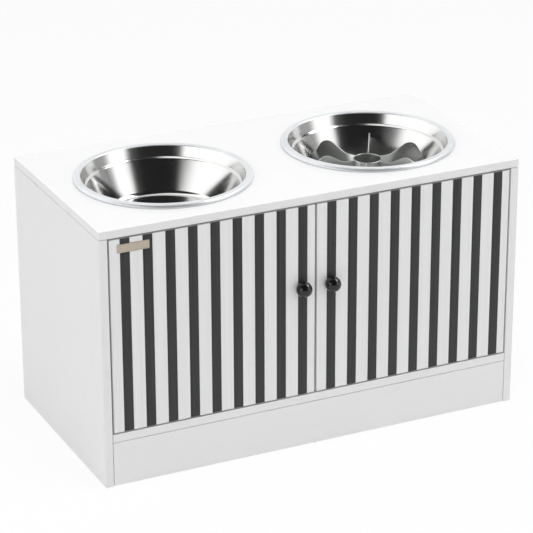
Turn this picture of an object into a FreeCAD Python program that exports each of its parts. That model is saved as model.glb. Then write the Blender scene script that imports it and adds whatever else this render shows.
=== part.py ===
"""Elevated dog feeding station: a low storage cabinet with two striped doors and two lift-out steel bowls.

Millimetres, +Z up, +X to the right as seen from the front, +Y to the back. The origin lies on the
floor under the middle of the overall box, knobs included. One STEP file is written per sub-part.
"""

import FreeCAD
import Part
import math
import os

V = FreeCAD.Vector
RIGHT, BACKWARD, UP = V(1, 0, 0), V(0, 1, 0), V(0, 0, 1)

# Cabinet
WIDTH = 600.0
DEPTH = 300.0
HEIGHT = 354.0           # floor to tabletop
BOARD = 11.2             # every coated board, doors included
BOARD_JOINT = 0.6        # hairline left where the edge of one board meets another
EDGE_ROUNDING = 0.8      # softened edges of the boards
PLINTH_HEIGHT = 62.2     # floor to the underside of the shelf
PLINTH_LIFT = 0.8        # the plinth hangs this far clear of the floor
BACK_BOARD = 3.0
BACK_INSET = 8.0         # from the rear edges to the back board
BACK_GROOVE = 5.0        # depth of the grooves that hold the back board
BACK_PLAY = 0.2
GLIDE_RADIUS = 4.5
GLIDE_EDGE = 0.3
GLIDE_NAIL_RADIUS = 0.9
GLIDE_NAIL_LENGTH = 14.0

# Board connectors
DOWEL_RADIUS = 3.0
DOWEL_CHAMFER = 0.6
DOWEL_IN_FACE = 8.0
DOWEL_IN_EDGE = 20.0
BOLT_THREAD_RADIUS = 2.5
BOLT_THREAD = 8.5
BOLT_SHANK_RADIUS = 1.8
BOLT_HEAD_RADIUS = 2.6
BOLT_HEAD = 3.0
BOLT_HOLE_RADIUS = 3.1
CAM_RADIUS = 7.5
CAM_SKIN = 2.0           # board left behind a cam's bore
CAM_SETBACK = 24.0       # from the board's edge to the cam's centre
CAM_SLOT_WIDTH = 1.6
CAM_SLOT_DEPTH = 2.0
CAM_SLOT_LENGTH = 9.0
FRONT_CAM_SETBACK = 80.0
REAR_CAM_SETBACK = 50.0
FRONT_DOWEL_SETBACK = 30.0
REAR_DOWEL_SETBACK = 85.0
PLINTH_CAM_HEIGHT = 38.0
PLINTH_DOWEL_HEIGHT = 16.0
PLINTH_DOWEL_SPACING = 300.0
FIT_PLAY = 0.05          # radial play of fixed round fits

# Doors
DOOR_GAP = 2.4           # between a door and the boards round it
MEETING_GAP = 3.0        # between the two doors
DOOR_ROUNDING = 1.0      # upright edges of a door
STRIPE_WIDTH = 13.5
STRIPE_PITCH = 30.8
STRIPE_MARGIN = 14.0     # white band left of the first stripe
STRIPE_LAST_MARGIN = 9.0  # least white band right of the last stripe
STRIPE_GROOVE = 1.4
STRIPE_THICKNESS = 1.2
NAME_PLATE_LENGTH = 43.5
NAME_PLATE_HEIGHT = 11.5
NAME_PLATE_THICKNESS = 0.8
NAME_PLATE_CORNER = 1.0
NAME_PLATE_FROM_EDGE = 10.3
NAME_PLATE_FROM_TOP = 6.8

# Knobs
KNOB_RADIUS = 10.6
KNOB_CENTRE = 7.9        # centre of the ball in front of the door
KNOB_SPIGOT_RADIUS = 5.5  # spigot behind the ball, seated in the door
KNOB_INSET = 19.3        # from the door's free edge
KNOB_HEIGHT = 228.6
KNOB_SCREW_RADIUS = 2.0
KNOB_SCREW_GRIP = 7.5    # screw length inside the ball

# Concealed single-pivot hinges
HINGE_FROM_END = 45.0    # cup centre from the door's top or bottom
CUP_RADIUS = 13.0
CUP_TAB = 4.0            # board left between the cup's bore and the door's edge
CUP_SKIN = 0.8           # board left between the cup's bore and the stripe grooves
CUP_SHEET = 0.8
CUP_PLAY = 0.1
FLANGE_THICKNESS = 1.0
FLANGE_RIM = 1.5
FLANGE_WIDTH = 13.0
FLANGE_CORNER = 4.0
FLANGE_SCREW_SPACING = 38.0
FLANGE_END = 5.5         # flange beyond each of its screws
PIVOT_OFFSET = 4.0       # from the cup's centre to the pin, towards the door's edge
PIN_RADIUS = 1.3
PIN_PLAY = 0.05
EYE_RADIUS = 2.8
EYE_CLEARANCE = 0.4
CHEEK_THICKNESS = 2.4
CHEEK_GAP = 0.3
ARM_THICKNESS = 2.5
ARM_WIDTH = 12.0
ARM_BEND = 3.5
ARM_CLEARANCE = 1.4      # between the arm and the door as it swings
ARM_LENGTH = 48.0        # behind the crossing
PLATE_THICKNESS = 3.0
PLATE_LENGTH = 32.0
PLATE_HEIGHT = 46.0
PLATE_CORNER = 3.0
PLATE_SCREW_SPACING = 32.0
PLATE_SETBACK = 8.0      # plate's front edge behind the arm's crossing

# Screws
SCREW_HEAD_RADIUS = 3.3
SCREW_HEAD = 2.0
SCREW_HEAD_ROUNDING = 1.0
SCREW_SHANK_RADIUS = 1.5
SCREW_LENGTH = 9.0
SCREW_SLOT_WIDTH = 0.9
SCREW_SLOT_LENGTH = 3.6
SCREW_SLOT_DEPTH = 1.1

# Magnetic catches
CATCH_FROM_CENTRE = 32.0
CATCH_DEPTH = 14.0
CATCH_HEIGHT = 11.0
CATCH_WALL = 2.0         # housing beside the magnet
CATCH_EAR = 4.0          # thickness of the screwed ears under the tabletop
CATCH_EAR_MARGIN = 0.5   # round the screw heads on the ears
CATCH_SCREW_BITE = 6.0   # screw length in the tabletop
MAGNET_WIDTH = 12.0
MAGNET_HEIGHT = 7.0
MAGNET_DEPTH = 7.0
MAGNET_STEP = 0.4        # the magnet stands proud of its housing
STRIKE_WIDTH = 22.0
STRIKE_HEIGHT = 10.0
STRIKE_THICKNESS = 1.2
STRIKE_CORNER = 2.5
STRIKE_GAP = 0.3

# Bowls, with heights measured from the tabletop along the middle of the sheet
BOWL_SHEET = 0.8
RIM_RADIUS = 118.0
RIM_HEIGHT = 5.2
RIM_WIDTH = 9.0
RIM_FOOT = 4.0           # rolled edge turned back under the rim
RIM_INNER_BEND = 2.0
RIM_OUTER_BEND = 3.6
RIM_FOOT_BEND = 0.6
UPPER_WALL_LEAN = 5.4    # how far the wall draws in from the rim down to the shoulder
SHOULDER_DROP = 10.0
SHOULDER_STEP = 3.0
SHOULDER_FALL = 2.0
SHOULDER_BEND = 1.6
LOWER_WALL_LEAN = 20.2   # how far the wall draws in from the shoulder down to the floor
BOWL_DEPTH = 56.0
WALL_FOOT_BEND = 9.0
FLOOR_CHANNEL = 9.0      # sunk ring between the wall and the raised floor
FLOOR_RAISE = 1.5
FLOOR_SLOPE = 2.5
FLOOR_BEND = 1.2
BOWL_HOLE_PLAY = 1.2
BOWL_FORWARD = 4.0       # bowls in front of the middle of the tabletop

# Slow-feeding insert of the food bowl, with drops measured from the tabletop
FEEDER_RING_RADIUS = 19.6
FEEDER_SHEET = 1.6
FEEDER_EDGE = 0.4        # rounding of the ring's rim
FEEDER_RING_DROP = 23.0
FIN_COUNT = 6
FIN_VALLEY = 15.9        # level stretch beside the ring
FIN_VALLEY_BEND = 20.0
FIN_CREST_INSET = 14.5   # from the tip in to the crest's corner
FIN_CREST_DROP = 4.4     # corner of the crest before it is rounded
FIN_CREST_BEND = 16.0
FIN_TIP_REACH = 12.5     # tip beyond the raised floor
FIN_TIP_DROP = 30.0
FIN_TIP_BEND = 5.0
FIN_FOOT_INSET = 1.5     # foot inside the raised floor's edge

# Places that follow from the sizes above
KNOB_PROJECTION = KNOB_CENTRE + KNOB_RADIUS
FRONT = (KNOB_PROJECTION - DEPTH) / 2
BACK = FRONT + DEPTH
HALF = WIDTH / 2
INNER = HALF - BOARD                     # inside faces of the side panels
UNDER_TOP = HEIGHT - BOARD
SHELF_TOP = PLINTH_HEIGHT + BOARD
DOOR_WIDTH = INNER - DOOR_GAP - MEETING_GAP / 2
DOOR_BOTTOM = SHELF_TOP + DOOR_GAP
DOOR_TOP = UNDER_TOP - DOOR_GAP
DOOR_BACK = FRONT + BOARD
BOWL_X = HALF / 2                        # each bowl in the middle of its half
BOWL_Y = FRONT + DEPTH / 2 - BOWL_FORWARD
RIM_OUT = RIM_RADIUS - BOWL_SHEET / 2
MOUTH_RADIUS = RIM_OUT - RIM_WIDTH
SHOULDER_RADIUS = MOUTH_RADIUS - UPPER_WALL_LEAN
WALL_FOOT_RADIUS = SHOULDER_RADIUS - SHOULDER_STEP - LOWER_WALL_LEAN
FLOOR_RADIUS = WALL_FOOT_RADIUS - FLOOR_CHANNEL
FLOOR_TOP = HEIGHT - BOWL_DEPTH + FLOOR_RAISE + BOWL_SHEET / 2
FIN_TIP_RADIUS = FLOOR_RADIUS + FIN_TIP_REACH
CUP_BORE_DEPTH = BOARD - STRIPE_GROOVE - CUP_SKIN
CUP_FLOOR = FRONT + STRIPE_GROOVE + CUP_SKIN + CUP_PLAY
PIVOT_DEPTH = CUP_FLOOR - FRONT + CUP_SHEET + EYE_CLEARANCE + EYE_RADIUS
PIVOT_INSET = CUP_TAB + CUP_RADIUS - PIVOT_OFFSET
PIVOT_X = INNER - DOOR_GAP - PIVOT_INSET
PIVOT_Y = FRONT + PIVOT_DEPTH
CUP_X = INNER - DOOR_GAP - CUP_TAB - CUP_RADIUS
HINGE_HEIGHTS = {"lower": DOOR_BOTTOM + HINGE_FROM_END, "upper": DOOR_TOP - HINGE_FROM_END}
ARM_RISE = BOARD - PIVOT_DEPTH + FLANGE_THICKNESS + ARM_CLEARANCE + ARM_THICKNESS / 2
ARM_CROSSING = math.hypot(PIVOT_INSET, BOARD - PIVOT_DEPTH) + ARM_CLEARANCE + ARM_THICKNESS / 2
ARM_RUN = PIVOT_INSET + DOOR_GAP - PLATE_THICKNESS - ARM_THICKNESS / 2
ARM_END_Y = PIVOT_Y + ARM_CROSSING + ARM_LENGTH
PLATE_Y = PIVOT_Y + ARM_CROSSING + PLATE_SETBACK
CATCH_Y = DOOR_BACK + STRIKE_THICKNESS + STRIKE_GAP + MAGNET_STEP
CATCH_CORE = MAGNET_WIDTH / 2 + CATCH_WALL
CATCH_SCREW_REACH = CATCH_CORE + CATCH_EAR_MARGIN + SCREW_HEAD_RADIUS
CATCH_REACH = CATCH_SCREW_REACH + SCREW_HEAD_RADIUS + CATCH_EAR_MARGIN
CATCH_SCREW_LENGTH = CATCH_EAR + CATCH_SCREW_BITE
MAGNET_Z = UNDER_TOP - CATCH_HEIGHT / 2
SIDES = {"left": -1, "right": 1}


def box(x0, x1, y0, y1, z0, z1):
    """A plain block between two corners."""
    return Part.makeBox(x1 - x0, y1 - y0, z1 - z0, V(x0, y0, z0))


def board(x0, x1, y0, y1, z0, z1, rounding=EDGE_ROUNDING):
    """A coated board with softened edges."""
    blank = box(x0, x1, y0, y1, z0, z1)
    return blank.makeFillet(rounding, blank.Edges)


def rod(start, direction, radius, length):
    """A round bar or hole, from start along direction."""
    return Part.makeCylinder(radius, length, start, direction)


def cut_all(blank, tools):
    """The blank with every tool taken out of it."""
    return blank.cut(Part.makeCompound(tools))


def rounded_wire(corners, to_space):
    """A closed outline through corners (u, v, bend radius), with a tangent arc at each bend."""
    count = len(corners)
    entries, exits, middles = [], [], []
    for i, (u, v, bend) in enumerate(corners):
        here = V(u, v, 0)
        before = V(*corners[i - 1][:2], 0) - here
        after = V(*corners[(i + 1) % count][:2], 0) - here
        before.normalize()
        after.normalize()
        half = before.getAngle(after) / 2
        reach = bend / math.tan(half) if bend else 0.0
        inward = before + after
        if bend:
            inward.normalize()
        entries.append(here + before * reach)
        exits.append(here + after * reach)
        middles.append(here + inward * (bend / math.sin(half) - bend) if bend else None)
    edges = []
    for i in range(count):
        if middles[i] is not None:
            arc = Part.Arc(*[to_space(p.x, p.y) for p in (entries[i], middles[i], exits[i])])
            edges.append(arc.toShape())
        start, end = exits[i], entries[(i + 1) % count]
        if start.distanceToPoint(end) > 1e-6:
            edges.append(Part.LineSegment(to_space(start.x, start.y), to_space(end.x, end.y)).toShape())
    return Part.Wire(edges)


def moved_path(path, distance):
    """A path of (u, v, bend radius) moved to its left by distance, its bends opened or closed to match."""
    points = [V(u, v, 0) for u, v, _ in path]
    ways = [(b - a).normalize() for a, b in zip(points, points[1:])]
    lefts = [V(-w.y, w.x, 0) for w in ways]
    moved = []
    for i, (point, (_, _, bend)) in enumerate(zip(points, path)):
        first, last = lefts[max(i - 1, 0)], lefts[min(i, len(lefts) - 1)]
        shifted = point + (first + last) * (distance / (1 + first.dot(last)))
        turn = ways[max(i - 1, 0)].cross(ways[min(i, len(ways) - 1)]).z
        new_bend = bend - math.copysign(distance, turn) if bend else 0.0
        moved.append((shifted.x, shifted.y, new_bend))
    return moved


def strip_face(path, thickness, to_space):
    """A flat strip of even thickness along a path, as bent sheet seen on edge."""
    outline = moved_path(path, thickness / 2) + moved_path(path, -thickness / 2)[::-1]
    return Part.Face(rounded_wire(outline, to_space))


def ring_section(r, z):
    """A point of a turned section, on the XZ plane."""
    return V(r, 0, z)


def turned(corners):
    """A solid of revolution about Z from a closed section of (radius, height, bend radius)."""
    return Part.Face(rounded_wire(corners, ring_section)).revolve(V(0, 0, 0), UP, 360)


def placed(shape, position, direction):
    """A copy of a shape made along +Z, moved to position with +Z turned to direction."""
    copy = shape.copy()
    copy.Placement = FreeCAD.Placement(position, FreeCAD.Rotation(UP, direction))
    return copy


def mirrored(shape, side):
    """The shape itself on the left, or its mirror image on the right."""
    return shape if side == "left" else shape.mirror(V(0, 0, 0), RIGHT)


# Fasteners and connectors


def cross_slot(top):
    """The two blades of a screwdriver's cross, down from a screw head's top."""
    half, long = SCREW_SLOT_WIDTH / 2, SCREW_SLOT_LENGTH / 2
    floor = top - SCREW_SLOT_DEPTH
    return [box(-long, long, -half, half, floor, top), box(-half, half, -long, long, floor, top)]


def screw(shank_radius, length):
    """A pan-head cross-slot screw: head above z = 0, shank below."""
    blank = turned([
        (0, -length, 0), (shank_radius, -length, 0), (shank_radius, 0, 0),
        (SCREW_HEAD_RADIUS, 0, 0), (SCREW_HEAD_RADIUS, SCREW_HEAD, SCREW_HEAD_ROUNDING), (0, SCREW_HEAD, 0),
    ])
    return cut_all(blank, cross_slot(SCREW_HEAD))


def countersunk_blank(play):
    """A countersunk screw with its face at z = 0, or its hole when play is added."""
    shank = SCREW_SHANK_RADIUS + play
    return turned([
        (0, -SCREW_LENGTH - play, 0), (shank, -SCREW_LENGTH - play, 0), (shank, -SCREW_HEAD, 0),
        (SCREW_HEAD_RADIUS + play, 0, 0), (0, 0, 0),
    ])


def pilot_hole(position, direction, shank_radius, length):
    """The hole that a screw with its head at position and pointing along direction goes into."""
    return rod(position, direction, shank_radius + FIT_PLAY, length + FIT_PLAY)


def connector_places():
    """Cams and dowels: (point on the joint plane, way into the faced board, way out of the cam's face)."""
    cams, dowels = [], []
    rows = ((cams, FRONT + FRONT_CAM_SETBACK), (cams, BACK - REAR_CAM_SETBACK),
            (dowels, FRONT + FRONT_DOWEL_SETBACK), (dowels, BACK - REAR_DOWEL_SETBACK))
    mid_plinth = FRONT + BOARD / 2
    for side in SIDES.values():
        outward, inward = RIGHT * side, RIGHT * -side
        for group, y in rows:
            group.append((V(side * (HALF - BOARD / 2), y, UNDER_TOP), UP, inward))
            group.append((V(side * INNER, y, PLINTH_HEIGHT + BOARD / 2), outward, -UP))
        cams.append((V(side * INNER, mid_plinth, PLINTH_CAM_HEIGHT), outward, BACKWARD))
        dowels.append((V(side * INNER, mid_plinth, PLINTH_DOWEL_HEIGHT), outward, BACKWARD))
        dowels.append((V(side * PLINTH_DOWEL_SPACING / 2, mid_plinth, PLINTH_HEIGHT), UP, BACKWARD))
    return cams, dowels


CAMS, DOWELS = connector_places()


def dowel(point, way):
    """A wood dowel with chamfered ends across a joint plane."""
    length = DOWEL_IN_EDGE + DOWEL_IN_FACE - 2 * FIT_PLAY
    peg = rod(point - way * (DOWEL_IN_EDGE - FIT_PLAY), way, DOWEL_RADIUS, length)
    ends = [e for e in peg.Edges if len(e.Vertexes) == 1 and e.Curve.TypeId == "Part::GeomCircle"]
    return peg.makeChamfer(DOWEL_CHAMFER, ends)


def dowel_hole(point, way):
    """The drilled hole of a dowel, through both boards."""
    return rod(point - way * DOWEL_IN_EDGE, way, DOWEL_RADIUS + FIT_PLAY, DOWEL_IN_EDGE + DOWEL_IN_FACE)


def cam_bolt(point, way):
    """A bolt screwed into the faced board, with its head inside the cam."""
    thread = rod(point, way, BOLT_THREAD_RADIUS, BOLT_THREAD)
    shank = rod(point, -way, BOLT_SHANK_RADIUS, CAM_SETBACK)
    head = rod(point - way * (CAM_SETBACK - BOLT_HEAD), -way, BOLT_HEAD_RADIUS, BOLT_HEAD)
    return thread.fuse([shank, head]).removeSplitter()


def bolt_holes(point, way):
    """Thread hole in the faced board and shank hole in the edged board."""
    return [
        rod(point, way, BOLT_THREAD_RADIUS + FIT_PLAY, BOLT_THREAD + FIT_PLAY),
        rod(point, -way, BOLT_HOLE_RADIUS, CAM_SETBACK),
    ]


def cam_bore(point, way, out):
    """The round pocket of a cam in the edged board."""
    mouth = point - way * CAM_SETBACK + out * (BOARD / 2)
    return rod(mouth, -out, CAM_RADIUS + FIT_PLAY, BOARD - CAM_SKIN)


def cam_lock(point, way, out):
    """A cam with a cross slot in its face and a pocket for the bolt's head."""
    mouth = point - way * CAM_SETBACK + out * (BOARD / 2)
    body = rod(mouth, -out, CAM_RADIUS, BOARD - CAM_SKIN)
    across = way.cross(out)
    slots = [rod(point, -way, BOLT_HOLE_RADIUS, CAM_SETBACK + BOLT_HEAD / 2)]
    for along, over in ((way, across), (across, way)):
        corner = mouth - along * (CAM_SLOT_LENGTH / 2) - over * (CAM_SLOT_WIDTH / 2) - out * CAM_SLOT_DEPTH
        blade = Part.makePolygon([
            corner, corner + along * CAM_SLOT_LENGTH,
            corner + along * CAM_SLOT_LENGTH + over * CAM_SLOT_WIDTH, corner + over * CAM_SLOT_WIDTH, corner,
        ])
        slots.append(Part.Face(blade).extrude(out * CAM_SLOT_DEPTH))
    return cut_all(body, slots)


def connector_holes():
    """Every hole and pocket that the connectors need in the boards."""
    holes = [dowel_hole(point, way) for point, way, _ in DOWELS]
    for point, way, out in CAMS:
        holes += bolt_holes(point, way) + [cam_bore(point, way, out)]
    return holes


# Concealed hinges, made for the left door and mirrored for the right


def plan(height):
    """Maps hinge-plan points, u towards the door's free edge and v to the back, from the left pivot."""
    return lambda u, v: V(-PIVOT_X + u, PIVOT_Y + v, height)


def hinge_arm(height):
    """A gooseneck arm: an eye on the pin, a neck out of the cup, and a run along the side panel."""
    low = height - ARM_WIDTH / 2
    path = [
        (0, 0, 0), (ARM_RISE, 0, ARM_BEND), (ARM_RISE, ARM_CROSSING, ARM_BEND),
        (-ARM_RUN, ARM_CROSSING, ARM_BEND), (-ARM_RUN, ARM_CROSSING + ARM_LENGTH, 0),
    ]
    strip = strip_face(path, ARM_THICKNESS, plan(low)).extrude(UP * ARM_WIDTH)
    pivot = plan(low)(0, 0)
    arm = strip.fuse(rod(pivot, UP, EYE_RADIUS, ARM_WIDTH)).removeSplitter()
    return cut_all(arm, [rod(pivot, UP, PIN_RADIUS + PIN_PLAY, ARM_WIDTH), arm_screw_hole(height)])


def hinge_plate(height):
    """The plate under an arm, screwed to the side panel."""
    plate = box(-INNER, -INNER + PLATE_THICKNESS, PLATE_Y, PLATE_Y + PLATE_LENGTH,
                height - PLATE_HEIGHT / 2, height + PLATE_HEIGHT / 2)
    upright = [e for e in plate.Edges if abs(e.tangentAt(e.FirstParameter).x) > 0.9]
    plate = plate.makeFillet(PLATE_CORNER, upright)
    return cut_all(plate, plate_screw_holes(height) + [arm_screw_hole(height)])


def plate_screw_places(height):
    """Heads of the two wood screws of a plate."""
    y = PLATE_Y + PLATE_LENGTH / 2
    return [V(-INNER + PLATE_THICKNESS, y, height + s * PLATE_SCREW_SPACING / 2) for s in (-1, 1)]


def plate_screw_holes(height):
    """Holes of the plate's wood screws, through the plate into the side panel."""
    return [pilot_hole(p, -RIGHT, SCREW_SHANK_RADIUS, SCREW_LENGTH + PLATE_THICKNESS)
            for p in plate_screw_places(height)]


def arm_screw_place(height):
    """Head of the screw that clamps the arm to its plate."""
    return V(-INNER + PLATE_THICKNESS + ARM_THICKNESS, PLATE_Y + PLATE_LENGTH / 2, height)


def arm_screw_hole(height):
    """Hole of the clamping screw, through the arm and the plate."""
    return pilot_hole(arm_screw_place(height), -RIGHT, SCREW_SHANK_RADIUS, ARM_THICKNESS + PLATE_THICKNESS)


def hinge_cup(height):
    """A pressed cup with a screwed flange and two cheeks that hold the pin."""
    floor = V(-CUP_X, CUP_FLOOR, height)
    outer = rod(floor, BACKWARD, CUP_RADIUS, DOOR_BACK - CUP_FLOOR)
    mouth = DOOR_BACK + FLANGE_THICKNESS
    pocket = rod(floor + BACKWARD * CUP_SHEET, BACKWARD, CUP_RADIUS - CUP_SHEET, mouth - CUP_FLOOR)
    cheek_in = ARM_WIDTH / 2 + CHEEK_GAP
    reach = EYE_RADIUS + EYE_CLEARANCE
    cheeks = []
    for low in (cheek_in, -cheek_in - CHEEK_THICKNESS):
        cheek = box(-PIVOT_X - reach, -PIVOT_X + reach, CUP_FLOOR, PIVOT_Y + reach,
                    height + low, height + low + CHEEK_THICKNESS)
        cheeks.append(cheek.common(outer))
    cup = outer.fuse(flange_blank(height)).cut(pocket).fuse(cheeks).removeSplitter()
    tools = [pilot_hole(p, -BACKWARD, SCREW_SHANK_RADIUS, FLANGE_THICKNESS)
             for p in flange_screw_places(height)]
    return cut_all(cup, tools + [rod(pin_start(height), UP, PIN_RADIUS + PIN_PLAY, pin_length())])


def flange_blank(height):
    """The flange on the door's inner face: a disc round the cup and a bar along the door."""
    thickness = FLANGE_THICKNESS
    disc = rod(V(-CUP_X, DOOR_BACK, height), BACKWARD, CUP_RADIUS + FLANGE_RIM, thickness)
    reach = FLANGE_SCREW_SPACING / 2 + FLANGE_END
    bar = box(-CUP_X - FLANGE_WIDTH / 2, -CUP_X + FLANGE_WIDTH / 2, DOOR_BACK, DOOR_BACK + thickness,
              height - reach, height + reach)
    ends = [e for e in bar.Edges if abs(e.tangentAt(e.FirstParameter).y) > 0.9]
    return bar.makeFillet(FLANGE_CORNER, ends).fuse(disc)


def flange_screw_places(height):
    """Heads of the two screws of a cup's flange."""
    y = DOOR_BACK + FLANGE_THICKNESS
    return [V(-CUP_X, y, height + s * FLANGE_SCREW_SPACING / 2) for s in (-1, 1)]


def pin_length():
    """A pin reaches to the outer faces of both cheeks."""
    return ARM_WIDTH + 2 * (CHEEK_GAP + CHEEK_THICKNESS)


def pin_start(height):
    """Lower end of a hinge pin."""
    return V(-PIVOT_X, PIVOT_Y, height - pin_length() / 2)


def cup_bore(height):
    """The round pocket of a hinge cup in the door, with its two screw holes."""
    bore = rod(V(-CUP_X, DOOR_BACK, height), -BACKWARD, CUP_RADIUS + CUP_PLAY, CUP_BORE_DEPTH)
    return [bore] + [pilot_hole(p, -BACKWARD, SCREW_SHANK_RADIUS, SCREW_LENGTH)
                     for p in flange_screw_places(height)]


# Doors


def door_left_edge(side):
    """Left edge of a door; both doors carry the same stripe layout, counted from there."""
    return -INNER + DOOR_GAP if side == "left" else MEETING_GAP / 2


def stripe_starts(side):
    """Left edges of the stripes that fit on a door."""
    room = DOOR_WIDTH - STRIPE_MARGIN - STRIPE_LAST_MARGIN - STRIPE_WIDTH
    count = int(room // STRIPE_PITCH) + 1
    return [door_left_edge(side) + STRIPE_MARGIN + i * STRIPE_PITCH for i in range(count)]


def knob_place(side):
    """Point on the stripe grooves' floor where a knob is seated."""
    return V(SIDES[side] * (MEETING_GAP / 2 + KNOB_INSET), FRONT + STRIPE_GROOVE, KNOB_HEIGHT)


def knob_seat(side):
    """The round seat of a knob's spigot, sunk to the stripe grooves' floor."""
    return rod(knob_place(side), -BACKWARD, KNOB_SPIGOT_RADIUS + FIT_PLAY, STRIPE_GROOVE)


def catch_x(side):
    """Middle of a door's catch and strike plate."""
    return SIDES[side] * CATCH_FROM_CENTRE


def strike_screw_place(side):
    """Face of the countersunk screw in the middle of a strike plate."""
    return V(catch_x(side), DOOR_BACK + STRIKE_THICKNESS, MAGNET_Z)


def strike_screw_hole(side):
    """The countersunk hole through a strike plate into its door."""
    return placed(countersunk_blank(FIT_PLAY), strike_screw_place(side), BACKWARD)


def strike_screw(side):
    """The countersunk cross-slot screw of a strike plate."""
    return placed(cut_all(countersunk_blank(0), cross_slot(0)), strike_screw_place(side), BACKWARD)


def door(side):
    """A door board with grooves for its stripes, bores for its hinge cups and holes for its fittings."""
    left = door_left_edge(side)
    blank = box(left, left + DOOR_WIDTH, FRONT, DOOR_BACK, DOOR_BOTTOM, DOOR_TOP)
    upright = [e for e in blank.Edges if abs(e.tangentAt(e.FirstParameter).z) > 0.9]
    blank = blank.makeFillet(DOOR_ROUNDING, upright)
    tools = [box(x, x + STRIPE_WIDTH, FRONT, FRONT + STRIPE_GROOVE, DOOR_BOTTOM, DOOR_TOP)
             for x in stripe_starts(side)]
    tools += [mirrored(tool, side) for z in HINGE_HEIGHTS.values() for tool in cup_bore(z)]
    tools += [knob_seat(side), rod(knob_place(side), BACKWARD, KNOB_SCREW_RADIUS + FIT_PLAY, BOARD)]
    tools.append(strike_screw_hole(side))
    return cut_all(blank, tools)


def stripes(side):
    """Black strips laid into a door's grooves, a little below its face."""
    face = FRONT + STRIPE_GROOVE - STRIPE_THICKNESS
    strips = []
    for x in stripe_starts(side):
        strip = box(x + FIT_PLAY, x + STRIPE_WIDTH - FIT_PLAY, face, FRONT + STRIPE_GROOVE,
                    DOOR_BOTTOM, DOOR_TOP)
        strips.append(strip.cut(knob_seat(side)))
    return strips


def knob(side):
    """A ball knob cut flat where it meets the door, with a spigot and a blind threaded hole."""
    foot = V(0, 0, -STRIPE_GROOVE)
    ball = Part.makeSphere(KNOB_RADIUS, V(0, 0, KNOB_CENTRE))
    ball = ball.cut(rod(V(0, 0, 0), -UP, 2 * KNOB_RADIUS, KNOB_RADIUS))
    ball = ball.fuse(rod(foot, UP, KNOB_SPIGOT_RADIUS, KNOB_CENTRE)).removeSplitter()
    ball = ball.cut(rod(foot, UP, KNOB_SCREW_RADIUS + FIT_PLAY, KNOB_SCREW_GRIP + FIT_PLAY))
    front = V(knob_place(side).x, FRONT, KNOB_HEIGHT)
    return placed(ball, front, -BACKWARD)


def knob_screw(side):
    """The machine screw of a knob, from inside the cabinet."""
    head = V(knob_place(side).x, DOOR_BACK, KNOB_HEIGHT)
    length = BOARD - STRIPE_GROOVE + KNOB_SCREW_GRIP
    return placed(screw(KNOB_SCREW_RADIUS, length), head, BACKWARD)


def name_plate():
    """A small blank metal plate in the upper outer corner of the left door."""
    left = door_left_edge("left") + NAME_PLATE_FROM_EDGE
    top = DOOR_TOP - NAME_PLATE_FROM_TOP
    plate = box(left, left + NAME_PLATE_LENGTH, FRONT - NAME_PLATE_THICKNESS, FRONT,
                top - NAME_PLATE_HEIGHT, top)
    corners = [e for e in plate.Edges if abs(e.tangentAt(e.FirstParameter).y) > 0.9]
    return plate.makeFillet(NAME_PLATE_CORNER, corners)


# Magnetic catches


def catch_screw_places(side):
    """Heads of the two screws that hold a catch under the tabletop."""
    y = CATCH_Y + CATCH_DEPTH / 2
    return [V(catch_x(side) + s * CATCH_SCREW_REACH, y, UNDER_TOP - CATCH_EAR) for s in (-1, 1)]


def magnet(side):
    """The magnet block of a catch, its face just proud of the housing."""
    x, y = catch_x(side), CATCH_Y - MAGNET_STEP
    return box(x - MAGNET_WIDTH / 2, x + MAGNET_WIDTH / 2, y, y + MAGNET_DEPTH,
               MAGNET_Z - MAGNET_HEIGHT / 2, MAGNET_Z + MAGNET_HEIGHT / 2)


def catch_housing(side):
    """A moulded housing round the magnet, with two screwed ears against the tabletop."""
    x = catch_x(side)
    ears = box(x - CATCH_REACH, x + CATCH_REACH, CATCH_Y, CATCH_Y + CATCH_DEPTH,
               UNDER_TOP - CATCH_EAR, UNDER_TOP)
    core = box(x - CATCH_CORE, x + CATCH_CORE, CATCH_Y, CATCH_Y + CATCH_DEPTH,
               UNDER_TOP - CATCH_HEIGHT, UNDER_TOP)
    tools = [magnet(side)]
    tools += [pilot_hole(p, UP, SCREW_SHANK_RADIUS, CATCH_SCREW_LENGTH) for p in catch_screw_places(side)]
    return cut_all(ears.fuse(core).removeSplitter(), tools)


def strike_plate(side):
    """The steel plate on a door that a magnet pulls at."""
    x = catch_x(side)
    plate = box(x - STRIKE_WIDTH / 2, x + STRIKE_WIDTH / 2, DOOR_BACK, DOOR_BACK + STRIKE_THICKNESS,
                MAGNET_Z - STRIKE_HEIGHT / 2, MAGNET_Z + STRIKE_HEIGHT / 2)
    corners = [e for e in plate.Edges if abs(e.tangentAt(e.FirstParameter).y) > 0.9]
    plate = plate.makeFillet(STRIKE_CORNER, corners)
    return plate.cut(strike_screw_hole(side))


# Bowls and the slow-feeding insert


def bowl_path():
    """Middle of the bowl's sheet from the centre of its floor to its rolled rim, above the tabletop."""
    half = BOWL_SHEET / 2
    floor, raised = -BOWL_DEPTH, -BOWL_DEPTH + FLOOR_RAISE
    rim_top = RIM_HEIGHT - half
    return [
        (0, raised, 0),
        (FLOOR_RADIUS, raised, FLOOR_BEND),
        (FLOOR_RADIUS + FLOOR_SLOPE, floor, FLOOR_BEND),
        (WALL_FOOT_RADIUS, floor, WALL_FOOT_BEND),
        (SHOULDER_RADIUS - SHOULDER_STEP, -SHOULDER_DROP - SHOULDER_FALL, SHOULDER_BEND),
        (SHOULDER_RADIUS, -SHOULDER_DROP, SHOULDER_BEND),
        (MOUTH_RADIUS, rim_top, RIM_INNER_BEND),
        (RIM_OUT, rim_top, RIM_OUTER_BEND),
        (RIM_OUT, half, RIM_FOOT_BEND),
        (RIM_OUT - RIM_FOOT, half, 0),
    ]


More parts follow.
